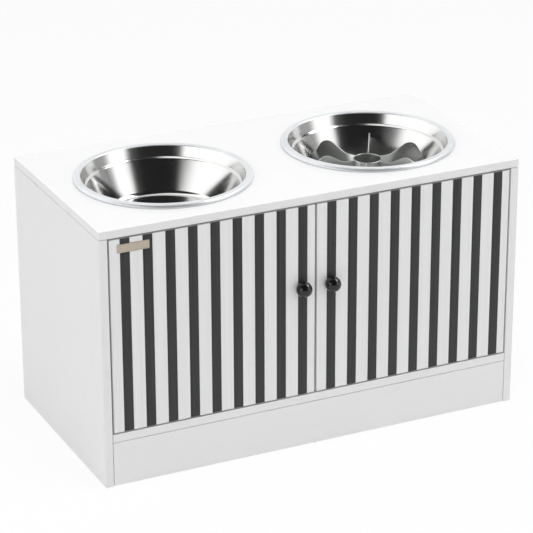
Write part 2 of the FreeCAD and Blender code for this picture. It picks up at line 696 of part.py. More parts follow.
def bowl(side):
    """A pressed steel bowl whose rolled rim rests on the tabletop."""
    shell = strip_face(bowl_path(), BOWL_SHEET, ring_section).revolve(V(0, 0, 0), UP, 360)
    return placed(shell, V(SIDES[side] * BOWL_X, BOWL_Y, HEIGHT), UP)


def bowl_hole_radius():
    """The tabletop's holes clear the bowls' walls at the tabletop."""
    half = BOWL_SHEET / 2
    lean = UPPER_WALL_LEAN / (RIM_HEIGHT - half + SHOULDER_DROP)
    return SHOULDER_RADIUS + SHOULDER_DROP * lean + half * math.hypot(1, lean) + BOWL_HOLE_PLAY


def feeder_ring():
    """The short tube in the middle of the food bowl."""
    top = HEIGHT - FEEDER_RING_DROP
    inner = FEEDER_RING_RADIUS - FEEDER_SHEET
    tube = turned([
        (inner, FLOOR_TOP, 0), (FEEDER_RING_RADIUS, FLOOR_TOP, 0),
        (FEEDER_RING_RADIUS, top, FEEDER_EDGE), (inner, top, FEEDER_EDGE),
    ])
    return placed(tube, V(BOWL_X, BOWL_Y, 0), UP)


def feeder_fin(number):
    """One upright fin from the ring outwards: low by the ring, with a rounded crest near its tip."""
    outline = rounded_wire([
        (FEEDER_RING_RADIUS, FLOOR_TOP, 0),
        (FEEDER_RING_RADIUS, HEIGHT - FEEDER_RING_DROP, 0),
        (FEEDER_RING_RADIUS + FIN_VALLEY, HEIGHT - FEEDER_RING_DROP, FIN_VALLEY_BEND),
        (FIN_TIP_RADIUS - FIN_CREST_INSET, HEIGHT - FIN_CREST_DROP, FIN_CREST_BEND),
        (FIN_TIP_RADIUS, HEIGHT - FIN_TIP_DROP, FIN_TIP_BEND),
        (FLOOR_RADIUS - FIN_FOOT_INSET, FLOOR_TOP, 0),
    ], lambda r, z: V(r, -FEEDER_SHEET / 2, z))
    fin = Part.Face(outline).extrude(BACKWARD * FEEDER_SHEET)
    fin.rotate(V(0, 0, 0), UP, number * 360 / FIN_COUNT)
    fin.translate(V(BOWL_X, BOWL_Y, 0))
    return fin


# Cabinet boards


def back_board(reach, play):
    """The back board, reaching into the boards round it, or its grooves when play is added."""
    rear = BACK - BACK_INSET
    return box(-INNER - reach, INNER + reach, rear - BACK_BOARD - play, rear + play,
               SHELF_TOP - reach, UNDER_TOP + reach)


def cabinet_boards():
    """The five coated boards of the cabinet, drilled and grooved."""
    hole = bowl_hole_radius()
    between = INNER - BOARD_JOINT
    boards = {
        "top_panel": board(-HALF, HALF, FRONT, BACK, UNDER_TOP, HEIGHT),
        "left_side_panel": board(-HALF, -INNER, FRONT, BACK, 0, UNDER_TOP - BOARD_JOINT),
        "right_side_panel": board(INNER, HALF, FRONT, BACK, 0, UNDER_TOP - BOARD_JOINT),
        "bottom_shelf": board(-between, between, FRONT, BACK, PLINTH_HEIGHT, SHELF_TOP),
        "plinth": board(-between, between, FRONT, FRONT + BOARD, PLINTH_LIFT, PLINTH_HEIGHT - BOARD_JOINT),
    }
    tools = connector_holes() + [back_board(BACK_GROOVE, BACK_PLAY)]
    tools += [rod(V(s * BOWL_X, BOWL_Y, UNDER_TOP), UP, hole, BOARD) for s in SIDES.values()]
    for side in SIDES:
        tools += [mirrored(t, side) for z in HINGE_HEIGHTS.values() for t in plate_screw_holes(z)]
        tools += [pilot_hole(p, UP, SCREW_SHANK_RADIUS, CATCH_SCREW_LENGTH) for p in catch_screw_places(side)]
    nail_seat = V(0, FRONT + BOARD / 2, PLINTH_LIFT)
    tools.append(rod(nail_seat, UP, GLIDE_NAIL_RADIUS + FIT_PLAY, GLIDE_NAIL_LENGTH + FIT_PLAY))
    return {name: cut_all(blank, tools) for name, blank in boards.items()}


def centre_glide():
    """A nailed foot under the middle of the plinth."""
    foot = turned([
        (0, 0, 0), (GLIDE_RADIUS, 0, GLIDE_EDGE), (GLIDE_RADIUS, PLINTH_LIFT, 0),
        (GLIDE_NAIL_RADIUS, PLINTH_LIFT, 0), (GLIDE_NAIL_RADIUS, PLINTH_LIFT + GLIDE_NAIL_LENGTH, 0),
        (0, PLINTH_LIFT + GLIDE_NAIL_LENGTH, 0),
    ])
    return placed(foot, V(0, FRONT + BOARD / 2, 0), UP)


def cabinet():
    """Boards, connectors and catches of the cabinet."""
    parts = {name: [solid] for name, solid in cabinet_boards().items()}
    parts["back_panel"] = [back_board(BACK_GROOVE - BACK_PLAY, 0)]
    parts["centre_glide"] = [centre_glide()]
    parts["wood_dowels"] = [dowel(point, way) for point, way, _ in DOWELS]
    parts["cam_bolts"] = [cam_bolt(point, way) for point, way, _ in CAMS]
    parts["cam_locks"] = [cam_lock(*place) for place in CAMS]
    parts["catch_screws"] = []
    for side in SIDES:
        parts[f"{side}_catch_housing"] = [catch_housing(side)]
        parts[f"{side}_catch_magnet"] = [magnet(side)]
        parts["catch_screws"] += [placed(screw(SCREW_SHANK_RADIUS, CATCH_SCREW_LENGTH), p, -UP)
                                  for p in catch_screw_places(side)]
    return parts


def hinges():
    """Four concealed hinges and their screws."""
    parts = {"hinge_plate_screws": [], "hinge_arm_screws": []}
    wood_screw = screw(SCREW_SHANK_RADIUS, SCREW_LENGTH)
    plate_screw = screw(SCREW_SHANK_RADIUS, SCREW_LENGTH + PLATE_THICKNESS)
    arm_screw = screw(SCREW_SHANK_RADIUS, ARM_THICKNESS + PLATE_THICKNESS)
    for side in SIDES:
        cup_screws = []
        for level, z in HINGE_HEIGHTS.items():
            pieces = {
                "hinge_arm": hinge_arm(z),
                "hinge_plate": hinge_plate(z),
                "hinge_cup": hinge_cup(z),
                "hinge_pin": rod(pin_start(z), UP, PIN_RADIUS, pin_length()),
            }
            for name, solid in pieces.items():
                parts[f"{side}_{level}_{name}"] = [mirrored(solid, side)]
            parts["hinge_plate_screws"] += [mirrored(placed(plate_screw, p, RIGHT), side)
                                            for p in plate_screw_places(z)]
            parts["hinge_arm_screws"].append(mirrored(placed(arm_screw, arm_screw_place(z), RIGHT), side))
            cup_screws += [mirrored(placed(wood_screw, p, BACKWARD), side) for p in flange_screw_places(z)]
        parts[f"{side}_hinge_cup_screws"] = cup_screws
    return parts


def doors():
    """Both doors with their stripes, knobs, strike plates and the blank name plate."""
    parts = {"name_plate": [name_plate()]}
    for side in SIDES:
        parts[f"{side}_door"] = [door(side)]
        parts[f"{side}_door_stripes"] = stripes(side)
        parts[f"{side}_knob"] = [knob(side)]
        parts[f"{side}_knob_screw"] = [knob_screw(side)]
        parts[f"{side}_strike_plate"] = [strike_plate(side)]
        parts[f"{side}_strike_screw"] = [strike_screw(side)]
    return parts


def bowls():
    """The water bowl, the food bowl and the slow-feeding insert."""
    parts = {"water_bowl": [bowl("left")], "food_bowl": [bowl("right")]}
    parts["slow_feeder_ring"] = [feeder_ring()]
    for number in range(FIN_COUNT):
        parts[f"slow_feeder_fin_{number + 1}"] = [feeder_fin(number)]
    return parts


def main():
    """Builds every sub-part and writes it to its own file."""
    os.makedirs("parts", exist_ok=True)
    parts = {**cabinet(), **hinges(), **doors(), **bowls()}
    for name, solids in parts.items():
        shape = solids[0] if len(solids) == 1 else Part.makeCompound(solids)
        if len(shape.Solids) != len(solids) or not shape.isValid():
            raise ValueError(f"{name} has {len(shape.Solids)} solids, valid: {shape.isValid()}")
        shape.exportStep(f"parts/{name}.step")


main()
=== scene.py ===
import logging
import math
from collections.abc import Sequence
from dataclasses import dataclass
from enum import Enum

import bmesh
import bpy
from mathutils import Matrix, Vector


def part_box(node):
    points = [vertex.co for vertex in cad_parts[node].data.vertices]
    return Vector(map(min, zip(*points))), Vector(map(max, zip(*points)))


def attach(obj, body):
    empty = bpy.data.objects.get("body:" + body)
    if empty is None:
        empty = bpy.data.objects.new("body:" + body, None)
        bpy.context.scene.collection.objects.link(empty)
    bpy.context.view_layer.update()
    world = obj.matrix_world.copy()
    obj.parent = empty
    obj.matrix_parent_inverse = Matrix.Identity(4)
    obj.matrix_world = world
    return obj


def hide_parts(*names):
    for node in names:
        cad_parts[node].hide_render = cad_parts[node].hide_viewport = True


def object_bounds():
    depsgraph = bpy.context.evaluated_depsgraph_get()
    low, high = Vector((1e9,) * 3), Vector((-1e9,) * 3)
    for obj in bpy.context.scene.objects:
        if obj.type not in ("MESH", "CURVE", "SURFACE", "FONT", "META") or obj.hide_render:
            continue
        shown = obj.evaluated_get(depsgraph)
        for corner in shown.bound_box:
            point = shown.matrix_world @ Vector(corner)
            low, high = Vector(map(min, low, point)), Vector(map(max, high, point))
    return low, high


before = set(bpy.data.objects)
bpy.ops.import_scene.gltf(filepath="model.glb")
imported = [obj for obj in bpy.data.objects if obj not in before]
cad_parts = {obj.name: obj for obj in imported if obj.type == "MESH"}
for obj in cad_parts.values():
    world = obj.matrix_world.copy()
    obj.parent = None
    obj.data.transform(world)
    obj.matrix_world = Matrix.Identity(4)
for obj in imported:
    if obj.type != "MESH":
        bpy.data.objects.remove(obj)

CAD_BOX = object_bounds()
LOG = logging.getLogger("feeding_station")
MM = 0.001
NOISE_LOW = 0.3  # noise mostly lies between these two
NOISE_HIGH = 0.7
WELD = 1e-7  # points nearer than this are one point, in metres
CAD_WELD = 2e-6  # the same for the loose triangles of a CAD mesh
SLIVER = 1e-6  # CAD edges shorter than this go
STRAIGHT = math.radians(89.9)  # half the angle of a corner that hardly bends
LEAST_MITRE = 0.3  # keeps the outer corner of a sharp bend near the sheet
Colour = tuple[float, float, float]
PathPoint = tuple[float, float, float]
Socket = bpy.types.NodeSocket


class Body(Enum):
    """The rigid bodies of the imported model."""

    CABINET = "cabinet"
    LEFT_DOOR = "left_door"
    RIGHT_DOOR = "right_door"
    WATER_BOWL = "water_bowl"
    FOOD_BOWL = "food_bowl"


class Slot(Enum):
    """The record's material slots."""

    DARK_STRIPE = "dark_stripe"
    BLACK_KNOB = "black_knob"
    BOWL_STEEL = "bowl_steel"
    SATIN_STEEL = "satin_steel"
    GLIDE_PLASTIC = "glide_plastic"
    ZINC_STEEL = "zinc_steel"
    ZINC_CASTING = "zinc_casting"
    PLATE_METAL = "plate_metal"
    HINGE_STEEL = "hinge_steel"
    CATCH_PLASTIC = "catch_plastic"
    MAGNET = "magnet"


class Side(Enum):
    """The two halves of the cabinet, as seen from the front."""

    LEFT = "left"
    RIGHT = "right"

    @property
    def door(self) -> Body:
        """The door body on this side."""
        return Body.LEFT_DOOR if self is Side.LEFT else Body.RIGHT_DOOR


class Grain(Enum):
    """How a board's faint grain runs: along X, or upright, or upright and fine."""

    ACROSS = (1.2, 90.0, 90.0)
    UPRIGHT = (90.0, 90.0, 1.2)
    FINE_UPRIGHT = (380.0, 380.0, 2.0)


class HeadForm(Enum):
    """The shapes of a fastener's head."""

    PAN = "pan"
    SUNK = "sunk"
    CAM = "cam"


class Aim(Enum):
    """The ways that a fastener's head can face."""

    INWARD = "to the middle of the cabinet"
    REAR = "to the back"
    DOWN = "to the floor"
    SHORT_SIDE = "along the shortest side of its box"

    def way(self, low: Vector, high: Vector) -> Vector:
        """The direction that a head faces.

        Args:
            low: Lowest corner of the fastener's box.
            high: Highest corner of the fastener's box.

        Returns:
            A unit vector.
        """
        inward = Vector((1 if low.x < 0 else -1, 0, 0))
        ways = {Aim.INWARD: inward, Aim.REAR: Vector((0, 1, 0)), Aim.DOWN: Vector((0, 0, -1))}
        if self is Aim.SHORT_SIDE:
            size = list(high - low)
            by_axis = list(ways.values())
            return by_axis[size.index(min(size))]
        return ways[self]


class ShaderGraph:
    """A Principled material that is being wired on Object coordinates."""

    def __init__(self, name: str) -> None:
        """Start a material with a Principled shader.

        Args:
            name: Name of the material.
        """
        self.material = bpy.data.materials.new(name)
        self.material.use_nodes = True
        self.tree = self.material.node_tree
        self.shader = self.tree.nodes["Principled BSDF"]
        self.coordinates = self.tree.nodes.new("ShaderNodeTexCoord").outputs["Object"]

    def node(self, kind: str, **settings: object) -> bpy.types.Node:
        """Add a node.

        Args:
            kind: Node type.
            **settings: Properties to set on it.

        Returns:
            The node.
        """
        made = self.tree.nodes.new(kind)
        for key, value in settings.items():
            setattr(made, key, value)
        return made

    def link(self, source: Socket, target: Socket) -> None:
        """Join two sockets."""
        self.tree.links.new(source, target)

    def constant(self, socket: str, value: object) -> None:
        """Set a value that is the same all over the surface."""
        self.shader.inputs[socket].default_value = value

    def mapped(self, scale: Sequence[float], centre: Sequence[float] = (0, 0, 0)) -> Socket:
        """Object coordinates about a centre, stretched.

        Args:
            scale: Pattern repeats per metre on each axis.
            centre: Point in metres that the pattern is centred on.

        Returns:
            The vector socket.
        """
        mapping = self.node("ShaderNodeMapping")
        mapping.inputs["Scale"].default_value = scale
        mapping.inputs["Location"].default_value = [-c * s for c, s in zip(centre, scale)]
        self.link(self.coordinates, mapping.inputs["Vector"])
        return mapping.outputs["Vector"]

    def from_axis(self, x: float, y: float) -> Socket:
        """The distance from an upright axis.

        Args:
            x: Where the axis stands, in metres.
            y: Where the axis stands, in metres.

        Returns:
            The distance socket.
        """
        reach = self.node("ShaderNodeVectorMath", operation="LENGTH")
        self.link(self.mapped((1.0, 1.0, 0.0), (x, y, 0.0)), reach.inputs[0])
        return reach.outputs["Value"]

    def sum(self, operation: str, first: Socket, second: object) -> Socket:
        """The result of a Math node.

        Args:
            operation: What it does.
            first: First socket.
            second: Second socket, or a value.

        Returns:
            The result socket.
        """
        made = self.node("ShaderNodeMath", operation=operation)
        self.link(first, made.inputs[0])
        if isinstance(second, Socket):
            self.link(second, made.inputs[1])
        else:
            made.inputs[1].default_value = second
        return made.outputs["Value"]

    def noise(self, vector: Socket, detail: float = 3.0, line: bool = False) -> Socket:
        """Noise at unit scale.

        Args:
            vector: Where it is read, a vector, or a single number for a line.
            detail: Finer octaves.
            line: Read along one number.

        Returns:
            The noise factor.
        """
        made = self.node("ShaderNodeTexNoise", noise_dimensions="1D" if line else "3D")
        made.inputs["Scale"].default_value = 1.0
        made.inputs["Detail"].default_value = detail
        self.link(vector, made.inputs["W" if line else "Vector"])
        return made.outputs["Fac"]

    def spread(self, factor: Socket, low: float, high: float) -> Socket:
        """Noise stretched to a range of values.

        Args:
            factor: Noise factor.
            low: Value where the noise is lowest.
            high: Value where the noise is highest.

        Returns:
            The value socket.
        """
        made = self.node("ShaderNodeMapRange", clamp=True)
        values = {"From Min": NOISE_LOW, "From Max": NOISE_HIGH, "To Min": low, "To Max": high}
        for socket, value in values.items():
            made.inputs[socket].default_value = value
        self.link(factor, made.inputs["Value"])
        return made.outputs["Result"]

    def tint(self, factor: Socket, dark: Colour, pale: Colour) -> Socket:
        """Noise turned to colours.

        Args:
            factor: Noise factor.
            dark: Colour where the noise is lowest.
            pale: Colour where the noise is highest.

        Returns:
            The colour socket.
        """
        ramp = self.node("ShaderNodeValToRGB")
        first, last = ramp.color_ramp.elements
        first.position, last.position = NOISE_LOW, NOISE_HIGH
        first.color, last.color = (*dark, 1.0), (*pale, 1.0)
        self.link(factor, ramp.inputs["Fac"])
        return ramp.outputs["Color"]

    def colour(self, socket: Socket) -> None:
        """Wire the base colour."""
        self.link(socket, self.shader.inputs["Base Color"])

    def roughness(self, socket: Socket) -> None:
        """Wire the roughness."""
        self.link(socket, self.shader.inputs["Roughness"])

    def bump(self, height: Socket, depth: float, strength: float) -> None:
        """Wire a bump to the shader.

        Args:
            height: Height pattern.
            depth: Height of the pattern in metres.
            strength: How much of it shows.
        """
        made = self.node("ShaderNodeBump")
        made.inputs["Distance"].default_value = depth
        made.inputs["Strength"].default_value = strength
        self.link(height, made.inputs["Height"])
        self.link(made.outputs["Normal"], self.shader.inputs["Normal"])


def shade(colour: Colour, factor: float) -> Colour:
    """A colour made paler or darker."""
    return tuple(min(1.0, c * factor) for c in colour)


@dataclass(frozen=True)
class Finish:
    """A surface that is wired once and shared by the pieces that wear it.

    Its gloss runs between two roughnesses and its colour between two tones. Its bump has a depth in metres.
    """

    name: str
    base: Colour
    low_gloss: float
    high_gloss: float
    tones: tuple[float, float] = (0.9, 1.1)
    depth: float = 0.03 * MM
    strength: float = 0.5

    def material(self) -> bpy.types.Material:
        """The finish's material, made on first use.

        Returns:
            The material.
        """
        found = bpy.data.materials.get(self.name)
        if found:
            return found
        graph = ShaderGraph(self.name)
        self.wire(graph)
        return graph.material

    def wire(self, graph: ShaderGraph) -> None:
        """Wire the finish's nodes into a graph."""
        raise NotImplementedError

    def toned(self, graph: ShaderGraph, pattern: Socket) -> Socket:
        """The base colour, darker and paler with a pattern."""
        return graph.tint(pattern, *(shade(self.base, tone) for tone in self.tones))

    def press(self, graph: ShaderGraph, pattern: Socket) -> None:
        """Wire a pattern into gloss and bump."""
        graph.roughness(graph.spread(pattern, self.low_gloss, self.high_gloss))
        graph.bump(pattern, self.depth, self.strength)

    def wear(self, graph: ShaderGraph, pattern: Socket) -> None:
        """Wire a pattern into colour, gloss and bump."""
        graph.colour(self.toned(graph, pattern))
        self.press(graph, pattern)


@dataclass(frozen=True)
class BoardFinish(Finish):
    """White melamine with faint streaks along the grain and a fine pressed texture.

    The walls of the bowl holes in a board show its sawn core.
    """

    tones: tuple[float, float] = (0.995, 1.005)
    depth: float = 0.04 * MM
    strength: float = 0.25
    grain: Grain = Grain.UPRIGHT
    texture: float = 700.0
    core: Colour = (0.42, 0.29, 0.17)
    core_tones: tuple[float, float] = (0.6, 1.3)
    chips: tuple[float, float, float] = (420.0, 420.0, 900.0)
    holes: tuple[tuple[float, float], ...] = ()
    hole_radius: float = 0.0
    hole_margin: float = 0.4 * MM

    def wire(self, graph: ShaderGraph) -> None:
        """Wire streaks, pressed texture and, round bowl holes, the sawn core.

        Args:
            graph: Graph to wire.
        """
        coat = self.toned(graph, graph.noise(graph.mapped(self.grain.value), detail=4.0))
        graph.colour(self.sawn(graph, coat) if self.holes else coat)
        self.press(graph, graph.noise(graph.mapped((self.texture,) * 3), detail=2.0))

    def sawn(self, graph: ShaderGraph, coat: Socket) -> Socket:
        """Chipboard on the walls of the bowl holes.

        Args:
            graph: Graph to wire.
            coat: Colour of the coating.

        Returns:
            The colour of coating and core together.
        """
        chips = graph.noise(graph.mapped(self.chips))
        core = graph.tint(chips, *(shade(self.core, tone) for tone in self.core_tones))
        colour = coat
        for x, y in self.holes:
            inside = graph.sum("LESS_THAN", graph.from_axis(x, y), self.hole_radius + self.hole_margin)
            mix = graph.node("ShaderNodeMix", data_type="RGBA")
            graph.link(inside, mix.inputs["Factor"])
            graph.link(colour, mix.inputs["A"])
            graph.link(core, mix.inputs["B"])
            colour = mix.outputs["Result"]
        return colour


@dataclass(frozen=True)
class LaminateFinish(Finish):
    """Charcoal laminate with fine upright lines."""

    tones: tuple[float, float] = (0.66, 1.34)
    depth: float = 0.06 * MM
    strength: float = 0.35
    lines: tuple[float, float, float] = (420.0, 420.0, 5.0)
    specular: float = 0.35

    def wire(self, graph: ShaderGraph) -> None:
        """Wire the upright lines into colour, gloss and bump."""
        graph.constant("Specular IOR Level", self.specular)
        self.wear(graph, graph.noise(graph.mapped(self.lines), detail=4.0))


@dataclass(frozen=True)
class TurnedSteelFinish(Finish):
    """Stainless steel with polishing lines that run round a centre, and soft clouds in the polish."""

    tones: tuple[float, float] = (0.95, 1.04)
    depth: float = 0.006 * MM
    centre: tuple[float, float] = (0.0, 0.0)
    line_pitch: float = 0.6 * MM
    metallic: float = 1.0
    clouds: float = 26.0

    def wire(self, graph: ShaderGraph) -> None:
        """Wire the clouds into colour, and the lines into gloss and bump.

        Args:
            graph: Graph to wire.
        """
        level = graph.node("ShaderNodeSeparateXYZ")
        graph.link(graph.coordinates, level.inputs["Vector"])
        along = graph.sum("ADD", graph.from_axis(*self.centre), level.outputs["Z"])
        lines = graph.noise(graph.sum("MULTIPLY", along, 1 / self.line_pitch), line=True)
        graph.constant("Metallic", self.metallic)
        graph.colour(self.toned(graph, graph.noise(graph.mapped((self.clouds,) * 3))))
        self.press(graph, lines)


@dataclass(frozen=True)
class GrainedMetalFinish(Finish):
    """Metal with a fine even texture: plated, cast or satin brushed."""

    tones: tuple[float, float] = (0.94, 1.06)
    depth: float = 0.01 * MM
    pitch: tuple[float, float, float] = (0.6 * MM, 0.6 * MM, 0.6 * MM)

    def wire(self, graph: ShaderGraph) -> None:
        """Wire the texture into colour, gloss and bump."""
        graph.constant("Metallic", 1.0)
        self.wear(graph, graph.noise(graph.mapped([1 / p for p in self.pitch])))


@dataclass(frozen=True)
class LacquerFinish(Finish):
    """Moulded or lacquered plastic with a slight waviness."""

    strength: float = 0.15
    wave: float = 3.0 * MM

    def wire(self, graph: ShaderGraph) -> None:
        """Wire the waviness into colour, gloss and bump."""
        self.wear(graph, graph.noise(graph.mapped((1 / self.wave,) * 3), detail=2.0))


@dataclass(frozen=True)
class WoodFinish(Finish):
    """Bare wood or hardboard with fibres along one axis."""

    tones: tuple[float, float] = (0.86, 1.14)
    depth: float = 0.05 * MM
    strength: float = 0.3
    fibres: tuple[float, float, float] = (60.0, 900.0, 900.0)

    def wire(self, graph: ShaderGraph) -> None:
        """Wire the fibres into colour, gloss and bump."""
        self.wear(graph, graph.noise(graph.mapped(self.fibres), detail=4.0))


WHITE: Colour = (0.80, 0.80, 0.80)
BOARD_GLOSS = (0.40, 0.50)
STRIPE_FINISH = LaminateFinish("charcoal_laminate", (0.0315, 0.0317, 0.032), 0.42, 0.58)
KNOB_FINISH = LacquerFinish("gloss_black", (0.006, 0.006, 0.0065), 0.06, 0.10)
INSERT_FINISH = GrainedMetalFinish("satin_insert_steel", (0.47, 0.48, 0.47), 0.32, 0.44)
HINGE_FINISH = GrainedMetalFinish("nickel_plate", (0.64, 0.63, 0.61), 0.20, 0.32, depth=0.005 * MM)
ZINC_FINISH = GrainedMetalFinish("zinc_plate", (0.60, 0.61, 0.64), 0.24, 0.38, (0.9, 1.1))
CAST_FINISH = GrainedMetalFinish("zinc_casting", (0.48, 0.48, 0.50), 0.42, 0.6, (0.88, 1.12), 0.04 * MM)
PLATE_FINISH = GrainedMetalFinish("champagne_metal", (0.50, 0.44, 0.36), 0.26, 0.36,
                                  pitch=(6.0 * MM, 0.3 * MM, 0.3 * MM))
MAGNET_FINISH = LacquerFinish("dark_ferrite", (0.03, 0.03, 0.033), 0.5, 0.7, wave=0.8 * MM)
CATCH_FINISH = LacquerFinish("moulded_white", (0.72, 0.72, 0.70), 0.36, 0.46, wave=1.5 * MM)
GLIDE_FINISH = LacquerFinish("moulded_black", (0.035, 0.035, 0.036), 0.42, 0.55, wave=1.5 * MM)
BEECH_FINISH = WoodFinish("bare_beech", (0.55, 0.36, 0.20), 0.55, 0.7)
BACK_FINISH = WoodFinish("white_hardboard", (0.74, 0.74, 0.725), 0.5, 0.62, (0.97, 1.03),
                         fibres=(900.0, 900.0, 160.0))


def into_scene(name: str, data: bpy.types.ID) -> bpy.types.Object:
    """Make an object and put it into the scene.

    Args:
        name: Name of the object.
        data: Its mesh, light or camera.

    Returns:
        The object.
    """
    made = bpy.data.objects.new(name, data)
    bpy.context.scene.collection.objects.link(made)
    return made


def plain_mesh(name: str, form: bmesh.types.BMesh) -> bpy.types.Mesh:
    """Turn a form into a mesh as it is.

    Args:
        name: Name of the mesh.
        form: Form, which is freed.

    Returns:
        The mesh.
    """
    mesh = bpy.data.meshes.new(name)
    form.to_mesh(mesh)
    form.free()
    return mesh


def soften(mesh: bpy.types.Mesh, degrees: float = 32.0) -> None:
    """Shade a mesh smooth, with its corners kept sharp.

    Args:
        mesh: Mesh to shade.
        degrees: Angle past which an edge is a corner.
    """
    mesh.shade_smooth()
    mesh.set_sharp_from_angle(angle=math.radians(degrees))


def as_mesh(name: str, form: bmesh.types.BMesh) -> bpy.types.Mesh:
    """Turn a closed form into a mesh that faces outwards.

    Args:
        name: Name of the mesh.
        form: Form, which is freed.

    Returns:
        The mesh.
    """
    bmesh.ops.remove_doubles(form, verts=form.verts, dist=WELD)
    bmesh.ops.recalc_face_normals(form, faces=form.faces)
    mesh = plain_mesh(name, form)
    soften(mesh)
    return mesh


def add_piece(mesh: bpy.types.Mesh, body: Body, nodes: Sequence[str],
              finishes: Sequence[Finish] = ()) -> None:
    """Put a mesh into the scene as a piece that rides on a body and stands for CAD nodes.

    Args:
        mesh: Mesh with its place in it; its name becomes the piece's.
        body: Body that it rides on.
        nodes: CAD nodes that it stands for.
        finishes: Finishes for its material slots, if the mesh has none yet.
    """
    for finish in finishes:
        mesh.materials.append(finish.material())
    piece = into_scene(mesh.name, mesh)
    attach(piece, body.value)
    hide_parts(*nodes)
    LOG.info("%s: %d faces, rides on %s", piece.name, len(mesh.polygons), body.value)


def dress_node(node: str, finish: Finish) -> None:
    """Give a CAD node whose shape stays a better material.

    Args:
        node: Name of the node.
        finish: Finish that it wears.
    """
    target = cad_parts[node]
    for place in target.material_slots:
        place.material = finish.material()
    LOG.info("%s: wears %s", node, finish.name)


def merged_copy(node: str) -> bmesh.types.BMesh:
    """A copy of a CAD node's mesh with its loose triangles joined.

    Args:
        node: Name of the node.

    Returns:
        The copy.
    """
    form = bmesh.new()
    form.from_mesh(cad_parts[node].data)
    bmesh.ops.remove_doubles(form, verts=form.verts, dist=CAD_WELD)
    bmesh.ops.dissolve_degenerate(form, edges=form.edges, dist=SLIVER)
    return form


def smooth_copy(node: str, body: Body, finish: Finish) -> None:
    """Replace a CAD node by a copy whose curves are shaded smooth.

    Args:
        node: Name of the node.
        body: Body that it rides on.
        finish: Finish that it wears.
    """
    mesh = plain_mesh(f"smooth_{node}", merged_copy(node))
    soften(mesh)
    add_piece(mesh, body, [node], [finish])


def islands(node: str) -> list[tuple[Vector, Vector]]:
    """The boxes of the separate solids in a CAD node.

    Args:
        node: Name of the node.

    Returns:
        The lowest and highest corner of each solid.
    """
    form = merged_copy(node)
    left = set(form.verts)
    boxes = []
    while left:
        stack = [left.pop()]
        points = []
        while stack:
            vert = stack.pop()
            points.append(vert.co.copy())
            near = {e.other_vert(vert) for e in vert.link_edges} & left
            left -= near
            stack += near
        boxes.append((Vector(min(p[i] for p in points) for i in range(3)),
                      Vector(max(p[i] for p in points) for i in range(3))))
    form.free()
    return sorted(boxes, key=lambda pair: tuple(round(v, 5) for v in pair[0]))


def rounded_path(corners: Sequence[PathPoint], step: float = 9.0) -> list[tuple[float, float]]:
    """A path of straight runs with rounded corners.

    Args:
        corners: Points of the path, each with the radius of its bend.
        step: Degrees between points on a bend.

    Returns:
        The path's points.
    """
    points = [Vector(corners[0][:2])]
    for before, (x, y, bend), after in zip(corners, corners[1:], corners[2:]):
        corner = Vector((x, y))
        into = (Vector(before[:2]) - corner).normalized()
        out = (Vector(after[:2]) - corner).normalized()
        half = into.angle(out) / 2
        if bend == 0 or half > STRAIGHT:
            points.append(corner)
            continue
        middle = corner + (into + out).normalized() * bend / math.sin(half)
        start = corner + into * bend / math.tan(half) - middle
        turn = math.pi - 2 * half
        turn *= 1 if start.x * out.y - start.y * out.x > 0 else -1
        count = max(2, math.ceil(math.degrees(abs(turn)) / step))
        for i in range(count + 1):
            points.append(middle + Matrix.Rotation(turn * i / count, 2) @ start)
    points.append(Vector(corners[-1][:2]))
    return [(p.x, p.y) for p in points]


def sheet_outline(path: Sequence[tuple[float, float]], thickness: float) -> list[tuple[float, float]]:
    """The outline of a bent sheet about its middle line.

    Args:
        path: Points of the middle line, from the axis outwards.
        thickness: Thickness of the sheet.

    Returns:
        The outline, out along the upper face and back along the lower one.
    """
    upper, lower = [], []
    for i, point in enumerate(path):
        before = Vector(path[max(i - 1, 0)])
        after = Vector(path[min(i + 1, len(path) - 1)])
        here = Vector(point)
        first = (here - before).normalized() if i else (after - here).normalized()
        second = (after - here).normalized() if i < len(path) - 1 else first
        along = (first + second).normalized()
        reach = thickness / 2 / max(along.dot(first), LEAST_MITRE)
        normal = Vector((-along.y, along.x)) * reach
        upper.append((max(here.x + normal.x, 0.0) if i else 0.0, here.y + normal.y))
        lower.append((max(here.x - normal.x, 0.0) if i else 0.0, here.y - normal.y))
    return upper + lower[::-1]


def lathe(name: str, outline: Sequence[tuple[float, float]], place: Matrix, segments: int,
          change: int = 0) -> bpy.types.Mesh:
    """Turn an outline round the Z axis.

    Args:
        name: Name of the mesh.
        outline: Closed outline as radius and height in metres; it may start and end on the axis.
        place: Where the turned form goes.
        segments: Steps round the axis.
        change: Point of the outline from which the second material is worn, if any.

    Returns:
        The mesh.
    """
    form = bmesh.new()
    rings = []
    for radius, height in outline:
        if radius < WELD:
            rings.append([form.verts.new((0, 0, height))] * segments)
            continue
        turns = [2 * math.pi * s / segments for s in range(segments)]
        rings.append([form.verts.new((radius * math.cos(t), radius * math.sin(t), height)) for t in turns])
    for index, (ring, following) in enumerate(zip(rings, rings[1:] + rings[:1])):
        for s in range(segments):
            t = (s + 1) % segments
            corners = list(dict.fromkeys((ring[s], ring[t], following[t], following[s])))
            if len(corners) > 2:
                form.faces.new(corners).material_index = int(0 < change <= index)
    form.transform(place)
    return as_mesh(name, form)


